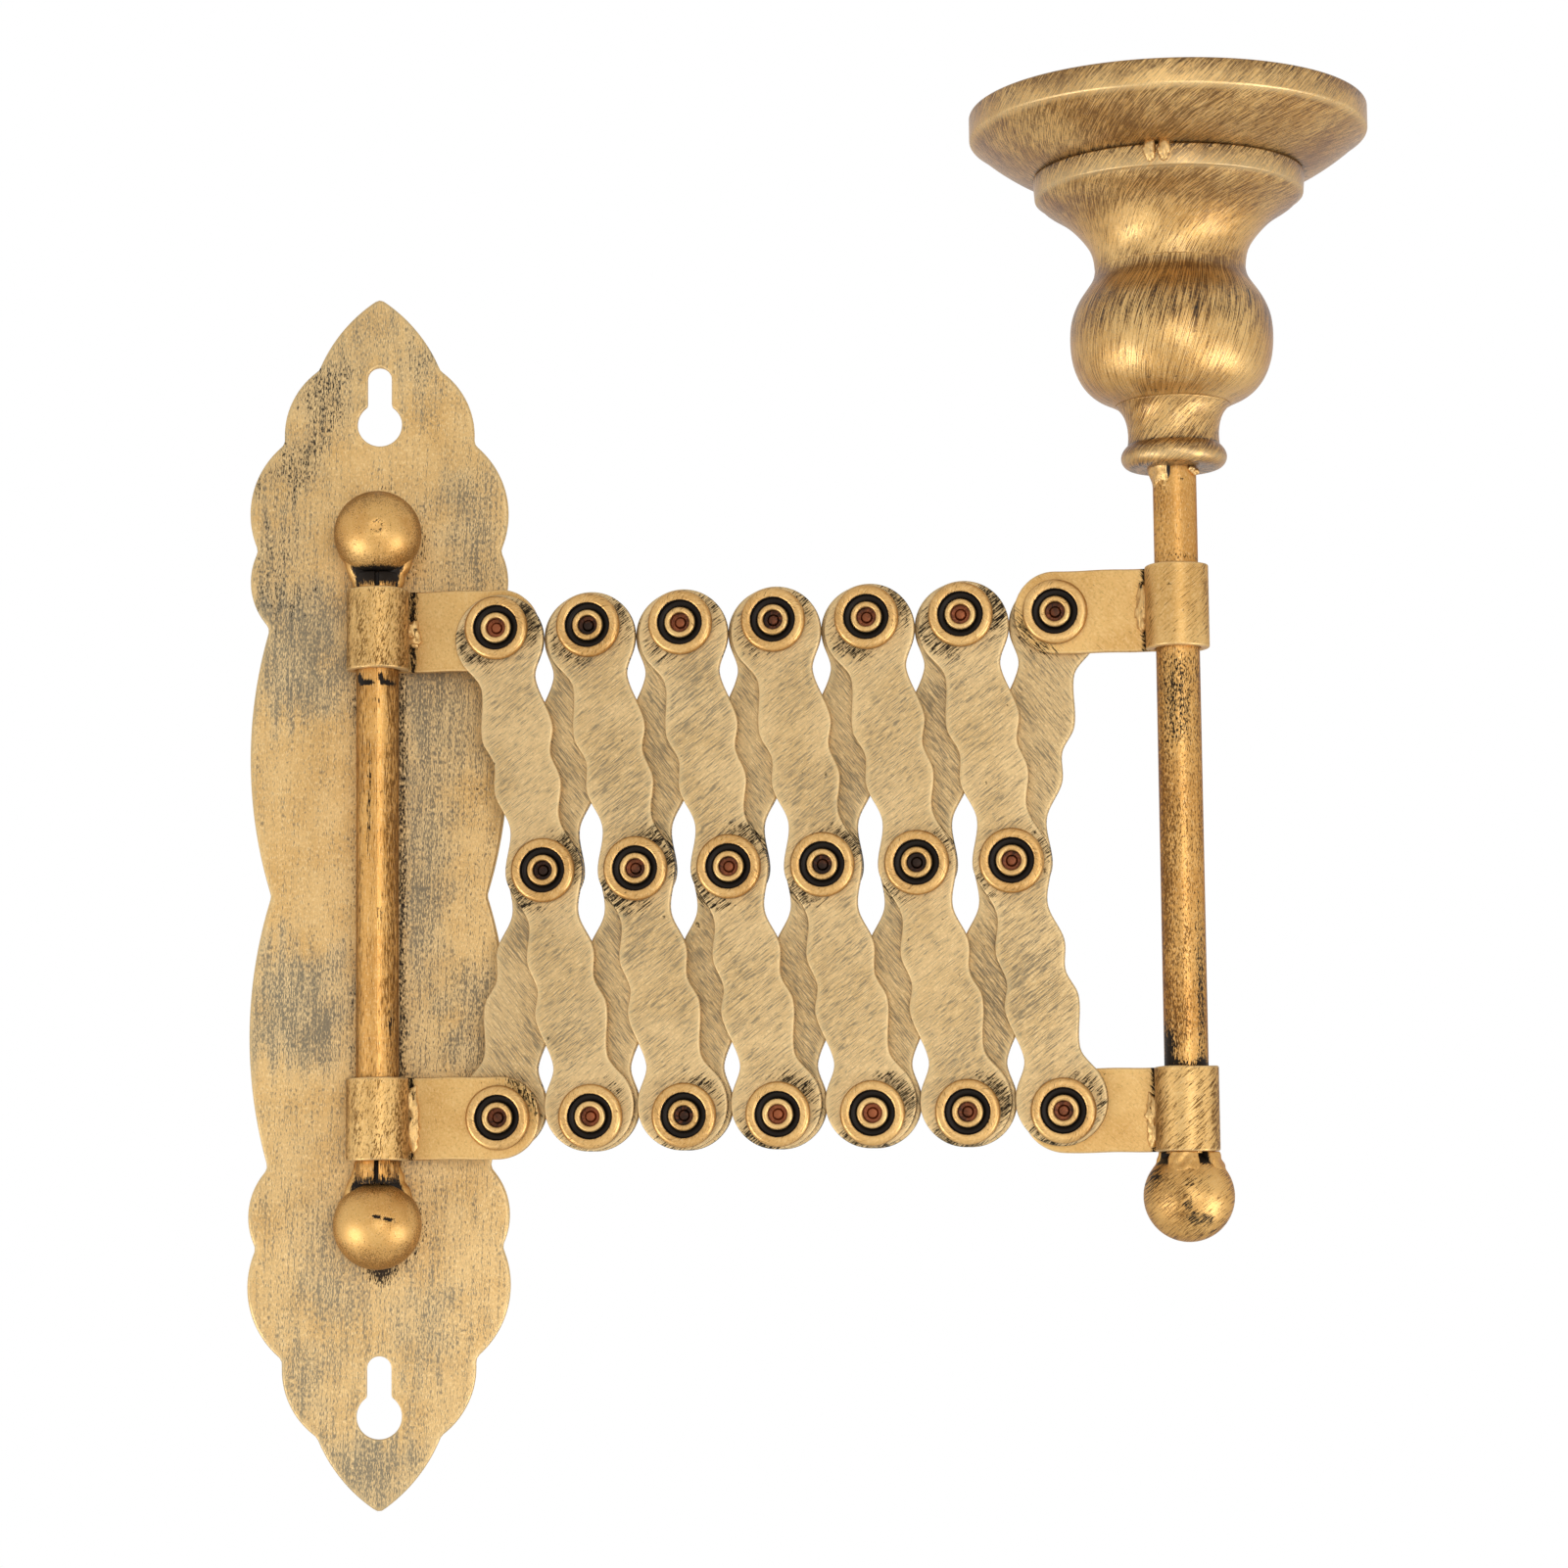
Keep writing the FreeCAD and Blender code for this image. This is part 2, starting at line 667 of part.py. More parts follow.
def build_rivets():
    """Rivet and washer groups, each with the piece that its rivets stay fixed to.

    A rear piece holds its rivets by their heads, a front piece by their washers, so
    the play lies under the washer or under the head.
    """
    rivet = turned("rivet_master", RIVET_PROFILE)
    washer = turned("washer_master", WASHER_PROFILE)
    middle = "Sheet.arm_rise"
    owners = [("lower_wall", False, [(0, ROWS["lower"])]), ("upper_wall", True, [(0, ROWS["upper"])])]
    for stage in range(STAGES):
        crossing = (stage + 0.5, middle)
        owners.append(("rear_%d" % (stage + 1), True, [crossing, (stage + 1, ROWS["upper"])]))
        owners.append(("front_%d" % (stage + 1), False, [(stage + 1, ROWS["lower"])]))
    back_face = "Sheet.rear_face + Sheet.strip"
    for name, rear, places in owners:
        play = "0" if rear else "Sheet.pivot_play"
        head = "%s + %s + Sheet.head_tall" % (back_face, play)
        floor = "%s + %s - Sheet.grip" % (back_face, play)
        heads = []
        floors = []
        for count, up in places:
            heads.append(dict(along=along_arm(count), back=head, up=up, roll=90))
            floors.append(dict(along=along_arm(count), back=floor, up=up, roll=90))
        keep(group(name + "_rivets", rivet, heads))
        keep(group(name + "_washers", washer, floors))


# Candle end
def on_stem(item, up):
    """Place a turned piece on the stem's axis."""
    put_on_arm(item, "Sheet.stem_reach", "0", up)
    return item


def build_cup():
    """Neck ferrule, bulb, tier and pan, held together by one long countersunk screw."""
    ferrule = turned("neck_ferrule", [
        ("lock_bore_r", "0"),
        ("flange_foot_r", "0", "flange_round", 1),
        ("flange_foot_r", "flange_tall", "neck_round", -1),
        ("neck_top_r", "neck_tall"),
        ("thread_r", "neck_tall"),
        ("thread_r", "socket_depth"),
        ("lock_bore_r", "socket_depth"),
    ])
    keep(on_stem(ferrule, "Sheet.cup_foot_up"))
    bulb = turned("cup_bulb", [
        ("screw_hole_r", "0"),
        ("bulb_foot_r", "0", "bulb_round", 1),
        ("bulb_shoulder_r", "bulb_shoulder_up", "bulb_waist_round", -1),
        ("waist_r", "bulb_tall"),
        ("screw_hole_r", "bulb_tall"),
        ("screw_hole_r", "bulb_roof"),
        ("waist_in_r", "bulb_roof"),
        ("bulb_in_shoulder_r", "bulb_shoulder_up", "bulb_in_round", -1),
        ("bulb_in_foot_r", "shell_wall"),
        ("screw_hole_r", "shell_wall"),
    ])
    keep(on_stem(bulb, "Sheet.bulb_foot_up"))
    tier = turned("cup_tier", [
        ("screw_hole_r", "0"),
        ("waist_r", "0", "tier_cove_round", -1),
        ("tier_cove_r", "tier_cove_up"),
        ("tier_edge_r", "tier_edge_up", "tier_edge_round", 1),
        ("tier_r", "tier_side_up"),
        ("tier_r", "tier_tall"),
        ("tier_in_side_r", "tier_tall"),
        ("tier_in_side_r", "tier_side_up"),
        ("tier_in_edge_r", "tier_in_edge_up"),
        ("tier_in_cove_r", "tier_in_cove_up"),
        ("waist_in_r", "shell_wall"),
        ("screw_hole_r", "shell_wall"),
    ])
    keep(on_stem(tier, "Sheet.tier_foot_up"))
    pan = turned("drip_pan", [
        ("thread_r", "0"),
        ("tier_r", "0", "pan_dish_round", 1),
        ("pan_r", "pan_rim_low"),
        ("pan_r", "pan_tall"),
        ("pan_in_r", "pan_tall"),
        ("pan_in_r", "pan_in_low"),
        ("pan_floor_r", "shell_wall"),
        ("screw_sink_r", "shell_wall"),
    ])
    keep(on_stem(pan, "Sheet.pan_foot_up"))
    screw = turned("cup_screw_turned", [
        ("0", "0"),
        ("screw_r", "0"),
        ("screw_r", "screw_length"),
        ("screw_head_r", "screw_top"),
        ("0", "screw_top"),
    ])
    slot = block("cup_screw_slot", "2 * Sheet.screw_head_r", "Sheet.screw_slot",
                 "2 * Sheet.screw_slot_deep", across="-Sheet.screw_head_r",
                 out="-Sheet.screw_slot / 2", up="Sheet.screw_top - Sheet.screw_slot_deep")
    keep(on_stem(cut("cup_screw", screw, slot), "Sheet.screw_foot_up"))


def check_document():
    """Stop when an object failed or a kept shape is empty or not valid."""
    for item in doc.Objects:
        if "Invalid" in item.State or "Error" in item.State:
            raise RuntimeError("%s did not build" % item.Label)
    for item in nodes:
        if item.Shape.isNull() or not item.Shape.isValid():
            raise RuntimeError("%s has no valid shape" % item.Label)


build_plate()
build_tubes()
build_balls()
build_anchors()
build_collars()
build_links()
build_rivets()
build_cup()
doc.recompute()
check_document()
for node in nodes:
    node.Shape.exportStep("parts/%s.step" % node.Label)
print("%d pieces written" % len(nodes))
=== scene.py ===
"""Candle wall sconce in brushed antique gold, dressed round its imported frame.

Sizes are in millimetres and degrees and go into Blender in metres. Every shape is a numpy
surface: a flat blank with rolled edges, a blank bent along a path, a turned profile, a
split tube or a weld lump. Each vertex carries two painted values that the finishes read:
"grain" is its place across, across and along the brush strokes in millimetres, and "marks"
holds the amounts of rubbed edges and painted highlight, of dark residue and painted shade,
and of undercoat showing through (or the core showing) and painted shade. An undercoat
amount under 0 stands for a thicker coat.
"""

import json
import logging
import math
from dataclasses import dataclass
from enum import Enum
from typing import Callable, Optional, Sequence, Union

import bpy
import numpy as np
from mathutils import Euler, Matrix, Vector
from mathutils.geometry import delaunay_2d_cdt


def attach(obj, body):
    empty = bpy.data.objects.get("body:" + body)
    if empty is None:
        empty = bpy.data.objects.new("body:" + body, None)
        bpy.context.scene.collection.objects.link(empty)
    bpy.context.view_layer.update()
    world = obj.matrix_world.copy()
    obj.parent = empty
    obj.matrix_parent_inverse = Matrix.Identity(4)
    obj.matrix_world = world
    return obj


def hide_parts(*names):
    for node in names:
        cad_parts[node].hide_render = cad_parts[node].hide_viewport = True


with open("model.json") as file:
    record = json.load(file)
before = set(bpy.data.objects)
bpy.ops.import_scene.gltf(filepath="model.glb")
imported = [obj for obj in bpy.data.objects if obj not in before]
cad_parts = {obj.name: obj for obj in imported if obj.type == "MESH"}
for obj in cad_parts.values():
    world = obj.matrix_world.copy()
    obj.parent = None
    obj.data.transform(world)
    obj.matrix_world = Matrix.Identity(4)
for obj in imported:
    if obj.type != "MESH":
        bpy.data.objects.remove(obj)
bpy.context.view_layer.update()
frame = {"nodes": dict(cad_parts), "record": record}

Array = np.ndarray
Number = Union[float, Array]
Socket = bpy.types.NodeSocket
Feed = Union[float, Sequence[float], Socket]
Colour = tuple[float, float, float, float]
MM = 0.001
TURN = 2.0 * math.pi
# distance within which points count as one
WELD = 2e-4
# most residue and painted shade that a mark holds
SOOT_AND_SHADE_MAX = 1.6
# turn between copies, so that no two lie alike
GOLDEN_ANGLE = 2.39996
RECORD = frame["record"]
BODY_OF = {node: body for body, nodes in RECORD["behaviour"]["bodies"].items() for node in nodes}
SLOT_OF = {part["node"]: part["material_slot"] for part in RECORD["subparts"]}
log = logging.getLogger("sconce")


class Layer(Enum):
    """The two layers of links; the value is the sign of their lean."""

    FRONT = -1
    REAR = 1


class End(Enum):
    """The two ends of the arm; the value is the way its tabs point along the arm."""

    WALL = 1
    STEM = -1


class Row(Enum):
    """The two outer rows of pivots; the value is the sign of their height."""

    UPPER = 1
    LOWER = -1


@dataclass(frozen=True)
class Layout:
    """Places that several sub-assemblies share."""

    axis_out: float = 8.65
    arm_rise: float = 3.3
    pivot_reach: float = 20.2
    link_half: float = 42.0
    fold: float = 10.8
    stages: int = 6
    pan_gap: float = 25.25
    strip: float = 1.5
    front_face: float = 1.75
    rear_face: float = 3.35
    tube_r: float = 3.6
    bore_r: float = 2.8
    ball_r: float = 7.4
    collar_tall: float = 13.8

    @property
    def pitch(self) -> float:
        """Distance between neighbouring pivots of one row."""
        return 2.0 * self.link_half * math.sin(math.radians(self.fold))

    @property
    def row_half(self) -> float:
        """Height of the upper row above the crossings."""
        return self.link_half * math.cos(math.radians(self.fold))

    @property
    def stem_reach(self) -> float:
        """Distance from the pivot tube's axis to the stem's."""
        return 2.0 * self.pivot_reach + self.stages * self.pitch

    @property
    def seat_reach(self) -> float:
        """Distance from a ball's centre to the end of its tube."""
        return math.sqrt(self.ball_r**2 - self.bore_r**2)

    def face(self, layer: Layer) -> float:
        """Depth of the front face of a layer of links."""
        return self.front_face if layer is Layer.FRONT else self.rear_face

    def row_up(self, row: Row) -> float:
        """Height of an outer row of pivots."""
        return self.arm_rise + row.value * self.row_half

    def pivot_along(self, count: float) -> float:
        """Distance along the arm to a pivot counted in pitches."""
        return self.pivot_reach + count * self.pitch

    def to_frame(self, points: Array) -> Array:
        """Turns arm places (along, back, up) into frame places.

        The arm leaves the pivot axis turned away from the wall by the angle whose sine is
        pan_gap over the reach, so the pan just clears the wall.

        Args:
            points: places in the arm's own directions, last axis 3.

        Returns:
            The same places in the frame's directions.
        """
        sine = self.pan_gap / self.stem_reach
        cosine = math.sqrt(1.0 - sine * sine)
        along, back, up = points[..., 0], points[..., 1], points[..., 2]
        across = along * cosine + back * sine
        out = -self.axis_out - along * sine + back * cosine
        return np.stack([across, out, up], -1)


LAYOUT = Layout()


# Small numeric tools
def ease(low: float, high: float, x: Array) -> Array:
    """Smooth step from 0 at low to 1 at high; low may be the larger."""
    t = np.clip((x - low) / (high - low), 0.0, 1.0)
    return t * t * (3.0 - 2.0 * t)


def hill(x: Array, centre: float, half: float, power: float = 2.0) -> Array:
    """Bell of height 1 round centre; a higher power gives a flatter top."""
    return np.exp(-np.abs((x - centre) / half) ** power)


def spots(rows: Sequence[tuple], *places: Array) -> Array:
    """Sum of stains.

    Each row is an amount and, for each of the places, the centre, half width and power of
    a bell, or None where the stain doesn't depend on that place.

    Args:
        rows: the stains.
        *places: distances that the bells are laid along.

    Returns:
        The summed amounts.
    """
    total = np.zeros_like(places[0])
    for amount, *bells in rows:
        stain = np.full_like(total, amount)
        for place, bell in zip(places, bells):
            stain *= hill(place, *bell) if bell else 1.0
        total += stain
    return total


def run_of(points: Array) -> Array:
    """Distance along a line of points up to each of them."""
    return np.r_[0.0, np.cumsum(np.linalg.norm(np.diff(points, axis=0), axis=1))]


def round_axis(radius: Number, angle: Array, height: Array) -> Array:
    """Places at a radius, an angle and a height round the upright axis."""
    return np.stack(np.broadcast_arrays(radius * np.cos(angle), radius * np.sin(angle), height), -1)


def wobble(points: Array, wave: float, seed: int, count: int = 9) -> Array:
    """Smooth random field of about unit size.

    It is the sum of sines along seeded directions with wavelengths near wave, divided by
    the root of their number.

    Args:
        points: places, last axis is the space.
        wave: typical wavelength.
        seed: seed of the directions and phases.
        count: number of sines.

    Returns:
        One value for each place.
    """
    rng = np.random.default_rng(seed)
    ways = rng.normal(size=(count, points.shape[-1]))
    ways *= TURN / wave * rng.uniform(0.6, 1.6, (count, 1)) / np.linalg.norm(ways, axis=1, keepdims=True)
    return np.sin(points @ ways.T + rng.uniform(0.0, TURN, count)).sum(-1) / math.sqrt(count)


def hermite(stations: Array, slopes: Array, at: Array) -> Array:
    """Cubic curve through stations with a given slope at each.

    Between two stations it is the cubic that has both values and both slopes.

    Args:
        stations: place and value of each, in order.
        slopes: slope at each station.
        at: places to work out.

    Returns:
        The value at each place.
    """
    place, value = stations[:, 0], stations[:, 1]
    k = np.clip(np.searchsorted(place, at, side="right") - 1, 0, len(place) - 2)
    wide = place[k + 1] - place[k]
    t = (at - place[k]) / wide
    rise = (2 * t**3 - 3 * t**2 + 1) * value[k] + (3 * t**2 - 2 * t**3) * value[k + 1]
    lean = (t**3 - 2 * t**2 + t) * slopes[k] + (t**3 - t**2) * slopes[k + 1]
    return rise + wide * lean


def spline(knots: Sequence[tuple[float, float]], step: float) -> Array:
    """Natural cubic spline through knots, led by chord length.

    Its second derivatives solve the three-term equations of smooth joins, and are zero
    at both ends.

    Args:
        knots: points in order.
        step: distance between samples.

    Returns:
        The sampled points.
    """
    points = np.array(knots, float)
    run = run_of(points)
    gap = np.diff(run)
    size = len(run)
    grid = np.eye(size)
    inner = np.arange(1, size - 1)
    grid[inner, inner - 1] = gap[:-1]
    grid[inner, inner] = 2.0 * (gap[:-1] + gap[1:])
    grid[inner, inner + 1] = gap[1:]
    pull = np.zeros_like(points)
    pull[1:-1] = 6.0 * np.diff(np.diff(points, axis=0) / gap[:, None], axis=0)
    bend = np.linalg.solve(grid, pull)
    at = np.linspace(0.0, run[-1], max(2, int(run[-1] / step) + 1))
    k = np.clip(np.searchsorted(run, at, side="right") - 1, 0, size - 2)
    h, a, b = gap[k, None], (run[k + 1] - at)[:, None], (at - run[k])[:, None]
    curve = (bend[k] * a**3 + bend[k + 1] * b**3) / (6.0 * h)
    curve += (points[k] / h - bend[k] * h / 6.0) * a
    return curve + (points[k + 1] / h - bend[k + 1] * h / 6.0) * b


def arc(centre: Array, start: Array, end: Array, count: int) -> Array:
    """Points of the shorter arc: centre plus radius times (cos a, sin a).

    Args:
        centre: centre of the circle.
        start: first point.
        end: last point.
        count: number of steps.

    Returns:
        The points, with both ends.
    """
    first = math.atan2(*(start - centre)[::-1])
    last = math.atan2(*(end - centre)[::-1])
    turn = (last - first + math.pi) % TURN - math.pi
    angle = first + turn * np.linspace(0.0, 1.0, count + 1)
    return centre + np.linalg.norm(start - centre) * np.c_[np.cos(angle), np.sin(angle)]


def rounded(corners: Sequence[tuple[float, float, float]], closed: bool = True, steps: int = 6) -> Array:
    """Polygon whose corners are replaced by arcs.

    Each corner is (x, y, radius); its arc touches both neighbouring sides, and an open
    polygon keeps its two end points.

    Args:
        corners: the corners in order.
        closed: whether the last corner joins the first.
        steps: points on each arc.

    Returns:
        The points of the rounded polygon.
    """
    places = np.array([c[:2] for c in corners], float)
    count = len(corners)
    made = []
    for i, (x, y, radius) in enumerate(corners):
        at_end = not closed and i in (0, count - 1)
        if radius <= 0.0 or at_end:
            made.append(np.array([[x, y]]))
            continue
        here = places[i]
        back, fore = places[i - 1] - here, places[(i + 1) % count] - here
        long_back, long_fore = np.linalg.norm(back), np.linalg.norm(fore)
        back, fore = back / long_back, fore / long_fore
        half = math.acos(float(np.clip(back @ fore, -1.0, 1.0))) / 2.0
        reach = min(radius / math.tan(half), 0.49 * long_back, 0.49 * long_fore)
        middle = back + fore
        centre = here + middle / np.linalg.norm(middle) * (reach / math.cos(half))
        made.append(arc(centre, here + back * reach, here + fore * reach, steps))
    return np.vstack(made)


def resample(loop: Array, step: float) -> Array:
    """Closed loop with points an even step apart.

    Args:
        loop: points of the loop.
        step: distance between new points.

    Returns:
        The new points, straight between the old ones.
    """
    closed = np.vstack([loop, loop[:1]])
    run = run_of(closed)
    at = np.linspace(0.0, run[-1], int(run[-1] / step), endpoint=False)
    return np.c_[np.interp(at, run, closed[:, 0]), np.interp(at, run, closed[:, 1])]


def ring(x: float, y: float, radius: float, count: int = 40) -> Array:
    """Circle as a loop that runs counter-clockwise."""
    angle = np.linspace(0.0, TURN, count, endpoint=False)
    return np.c_[x + radius * np.cos(angle), y + radius * np.sin(angle)]


def outward_of(loop: Array) -> Array:
    """Unit normals: the chord between a point's neighbours, turned by a quarter.

    Args:
        loop: points, counter-clockwise.

    Returns:
        Normals that point out of the loop.
    """
    along = np.roll(loop, -1, axis=0) - np.roll(loop, 1, axis=0)
    along /= np.linalg.norm(along, axis=1, keepdims=True)
    return np.c_[along[:, 1], -along[:, 0]]


def inside(loop: Array, points: Array) -> Array:
    """Finds the points in a loop by counting the sides crossed towards +x.

    Args:
        loop: points of the loop.
        points: places to test.

    Returns:
        Whether each place is inside.
    """
    a, b = loop, np.roll(loop, -1, axis=0)
    x, y = points[:, :1], points[:, 1:]
    straddles = (a[:, 1] > y) != (b[:, 1] > y)
    rise = np.where(b[:, 1] == a[:, 1], 1.0, b[:, 1] - a[:, 1])
    crossing = a[:, 0] + (b[:, 0] - a[:, 0]) * (y - a[:, 1]) / rise
    return ((x < crossing) & straddles).sum(1) % 2 == 1


def between(loops: Sequence[Array], points: Array) -> Array:
    """Whether each point lies in the first loop and in none of the others."""
    in_hole = np.any([inside(hole, points) for hole in loops[1:]], axis=0)
    return inside(loops[0], points) & ~in_hole


# Surfaces
@dataclass
class Surface:
    """Mesh of one piece in millimetres, with its painted values."""

    points: Array
    polys: list[Array]
    grain: Array
    marks: Array

    @staticmethod
    def joined(parts: Sequence["Surface"]) -> "Surface":
        """One surface from several shells.

        Args:
            parts: the shells.

        Returns:
            All the shells, with their points numbered on.
        """
        shift = np.cumsum([0] + [len(p.points) for p in parts])
        polys = [q + k for p, k in zip(parts, shift) for q in p.polys]
        stacked = [np.vstack([getattr(p, name) for p in parts]) for name in ("points", "grain", "marks")]
        return Surface(stacked[0], polys, stacked[1], stacked[2])

    def moved(self, place: Callable[[Array], Array]) -> "Surface":
        """The surface with its points carried by a function."""
        return Surface(place(self.points), self.polys, self.grain, self.marks)

    def welded(self) -> "Surface":
        """Merges equal points and turns pinched quads into triangles.

        Returns:
            The merged surface.
        """
        key = np.round(self.points / WELD).astype(np.int64)
        _, first, same = np.unique(key, axis=0, return_index=True, return_inverse=True)
        same = same.ravel()
        polys = []
        for poly in self.polys:
            poly = same[poly]
            twin = poly == np.roll(poly, -1, axis=1)
            polys.append(poly[twin.sum(1) == 0])
            if poly.shape[1] == 4:
                one = twin.sum(1) == 1
                order = (twin[one].argmax(1)[:, None] + 1 + np.arange(3)) % 4
                polys.append(np.take_along_axis(poly[one], order, 1))
        polys = [p for p in polys if len(p)]
        return Surface(self.points[first], polys, self.grain[first], self.marks[first])

    def flipped(self) -> "Surface":
        """The surface with its faces turned round."""
        return Surface(self.points, [q[:, ::-1] for q in self.polys], self.grain, self.marks)

    def outward(self) -> "Surface":
        """Turns the faces round if the volume they enclose counts as negative.

        Six times the volume is the sum of a . (b x c) over the corners of the triangles.

        Returns:
            The surface with its faces outwards.
        """
        fans = [q[:, [0, k, k + 1]] for q in self.polys for k in range(1, q.shape[1] - 1)]
        a, b, c = (self.points[np.vstack(fans)[:, i]] - self.points.mean(0) for i in range(3))
        volume = np.einsum("ij,ij->i", a, np.cross(b, c)).sum()
        return self.flipped() if volume < 0.0 else self

    def painted(self, soot_and_shade: Number = 0.0, bare_and_shade: Number = 0.0) -> "Surface":
        """Adds to the marks.

        Args:
            soot_and_shade: dark residue and painted shade.
            bare_and_shade: undercoat showing through, and painted shade.

        Returns:
            The same surface.
        """
        self.marks[:, 1] = np.clip(self.marks[:, 1] + soot_and_shade, 0.0, SOOT_AND_SHADE_MAX)
        self.marks[:, 2] = np.clip(self.marks[:, 2] + bare_and_shade, -1.0, 1.0)
        return self


def quads(rows: int, columns: int, wrap_rows: bool, wrap_columns: bool) -> Array:
    """Corner numbers of the cells of a grid of points.

    Args:
        rows: number of rows.
        columns: number of points in a row.
        wrap_rows: whether the last row joins the first.
        wrap_columns: whether each row is closed.

    Returns:
        Four corners for each cell.
    """
    i = np.arange(rows if wrap_rows else rows - 1)[:, None]
    j = np.arange(columns if wrap_columns else columns - 1)[None, :]
    k, m = (i + 1) % rows, (j + 1) % columns
    cells = [i * columns + j, i * columns + m, k * columns + m, k * columns + j]
    return np.stack([np.broadcast_to(c, (len(i), j.size)) for c in cells], -1).reshape(-1, 4)


def brushed(flat: Array, lean: float, seed: float) -> Array:
    """Grain of a flat face: its two directions, turned to lie across and along the strokes.

    Args:
        flat: places on the face.
        lean: angle of the strokes from the first direction, in degrees.
        seed: shifts the strokes, so that pieces differ.

    Returns:
        The grain of each place.
    """
    a = math.radians(lean)
    across = flat[:, 1] * math.cos(a) - flat[:, 0] * math.sin(a)
    along = flat[:, 0] * math.cos(a) + flat[:, 1] * math.sin(a)
    return np.c_[across, np.full(len(flat), 37.0 * seed), along + 11.0 * seed]


def rolled_edge(thick: float, edge: float, margin: float) -> Array:
    """Rings of a sheet's edge from its front face round to its back face.

    Each ring is (inset, depth): the quarter circles inset = edge (1 - sin t) and
    depth = edge (1 - cos t) at both faces, with two flat rings within a margin.

    Args:
        thick: thickness of the sheet.
        edge: radius of its edges.
        margin: width of the flat rings.

    Returns:
        The rings in order.
    """
    t = np.linspace(0.0, math.pi / 2.0, 5)
    quarter = np.c_[edge * (1.0 - np.sin(t)), edge * (1.0 - np.cos(t))]
    front = np.vstack([[[edge + margin, 0.0], [edge + 0.4 * margin, 0.0]], quarter])
    back = front[::-1] * [1.0, -1.0] + [0.0, thick]
    return np.vstack([front, back])


def cap(loops: Sequence[Array], spacing: float) -> tuple[Array, Array]:
    """Even triangles over a face between its outer loop and its holes.

    A staggered grid of inner points is added to the loops, and the constrained Delaunay
    triangles whose middles lie on the face are kept.

    Args:
        loops: the outer loop, then the holes.
        spacing: distance between inner points.

    Returns:
        The flat points, loops first, and the triangles.
    """
    rim = np.vstack(loops)
    low, high = rim.min(0), rim.max(0)
    xs, ys = np.arange(low[0], high[0], spacing), np.arange(low[1], high[1], 0.866 * spacing)
    gx, gy = np.meshgrid(xs, ys)
    gx = gx + spacing / 2.0 * (np.arange(len(ys)) % 2)[:, None]
    inner = np.c_[gx.ravel(), gy.ravel()]
    inner = inner[between(loops, inner)]
    near = np.linalg.norm(inner[:, None] - rim[None], axis=2).min(1)
    flat = np.vstack([rim, inner[near > 0.55 * spacing]])
    sides, start = [], 0
    for loop in loops:
        k = np.arange(len(loop))
        sides.append(np.c_[k, np.roll(k, -1)] + start)
        start += len(loop)
    corners = [Vector(p) for p in flat.tolist()]
    found = delaunay_2d_cdt(corners, np.vstack(sides).tolist(), [], 0, 1e-7)
    source = np.array([back[0] for back in found[3]])
    tris = source[np.array(found[2])]
    return flat, tris[between(loops, flat[tris].mean(1))]


def blank(outline: Array, holes: Sequence[Array], rings: Sequence[Array], spacing: float) -> Surface:
    """Flat sheet piece with rolled edges, as (across, up, depth).

    The outline and every hole are moved into the metal by each ring's inset and down by
    its depth; the first and last rings are closed by flat caps.

    Args:
        outline: outer loop, counter-clockwise.
        holes: hole loops, counter-clockwise.
        rings: edge rings of the outline, then of each hole.
        spacing: distance between the caps' inner points.

    Returns:
        The closed surface, with its rubbed edges painted; they brighten as a painted
        edge highlight too.
    """
    parts, fronts, backs = [], [], []
    for k, (loop, steps) in enumerate(zip([outline, *holes], rings)):
        into = -outward_of(loop) if k == 0 else outward_of(loop)
        flat = loop[None] + steps[:, :1, None] * into[None]
        depth = np.broadcast_to(steps[:, 1, None, None], flat.shape[:2] + (1,))
        points = np.concatenate([flat, depth], 2).reshape(-1, 3)
        wear_and_highlight = np.clip(1.0 - steps[:, 0] / steps[0, 0], 0.0, 1.0)
        marks = np.zeros_like(points)
        marks[:, 0] = np.repeat(wear_and_highlight, len(loop))
        side = Surface(points, [quads(len(steps), len(loop), False, True)], points * 0.0, marks)
        parts.append(side.flipped() if k else side)
        fronts.append(flat[0])
        backs.append(flat[-1])
    for loops, level, flip in ((fronts, rings[0][0, 1], True), (backs, rings[0][-1, 1], False)):
        flat, tris = cap(loops, spacing)
        points = np.c_[flat, np.full(len(flat), level)]
        a, b, c = (flat[tris[:, i]] for i in range(3))
        turn = (b - a)[:, 0] * (c - a)[:, 1] - (b - a)[:, 1] * (c - a)[:, 0]
        tris = np.where((turn > 0.0)[:, None], tris, tris[:, ::-1])
        tris = tris[:, ::-1] if flip else tris
        parts.append(Surface(points, [tris], points * 0.0, points * 0.0))
    return Surface.joined(parts).welded().outward()


@dataclass(frozen=True)
class Path:
    """Plan line that a strap follows, as even points (along, back)."""

    points: Array

    def carry(self, strap: Array, thick: float) -> Array:
        """Bends a strap along the line.

        A point sits at the line's place for its run, moved along the line's left normal
        by half the thickness less its depth.

        Args:
            strap: places as (run, up, depth).
            thick: thickness of the strap.

        Returns:
            Places as (along, back, up).
        """
        run = run_of(self.points)
        way = np.gradient(self.points, run, axis=0)
        way /= np.linalg.norm(way, axis=1, keepdims=True)
        at = strap[:, 0]
        base = [np.interp(at, run, self.points[:, i]) for i in (0, 1)]
        side = [np.interp(at, run, -way[:, 1]), np.interp(at, run, way[:, 0])]
        lift = thick / 2.0 - strap[:, 2]
        return np.c_[base[0] + side[0] * lift, base[1] + side[1] * lift, strap[:, 1]]


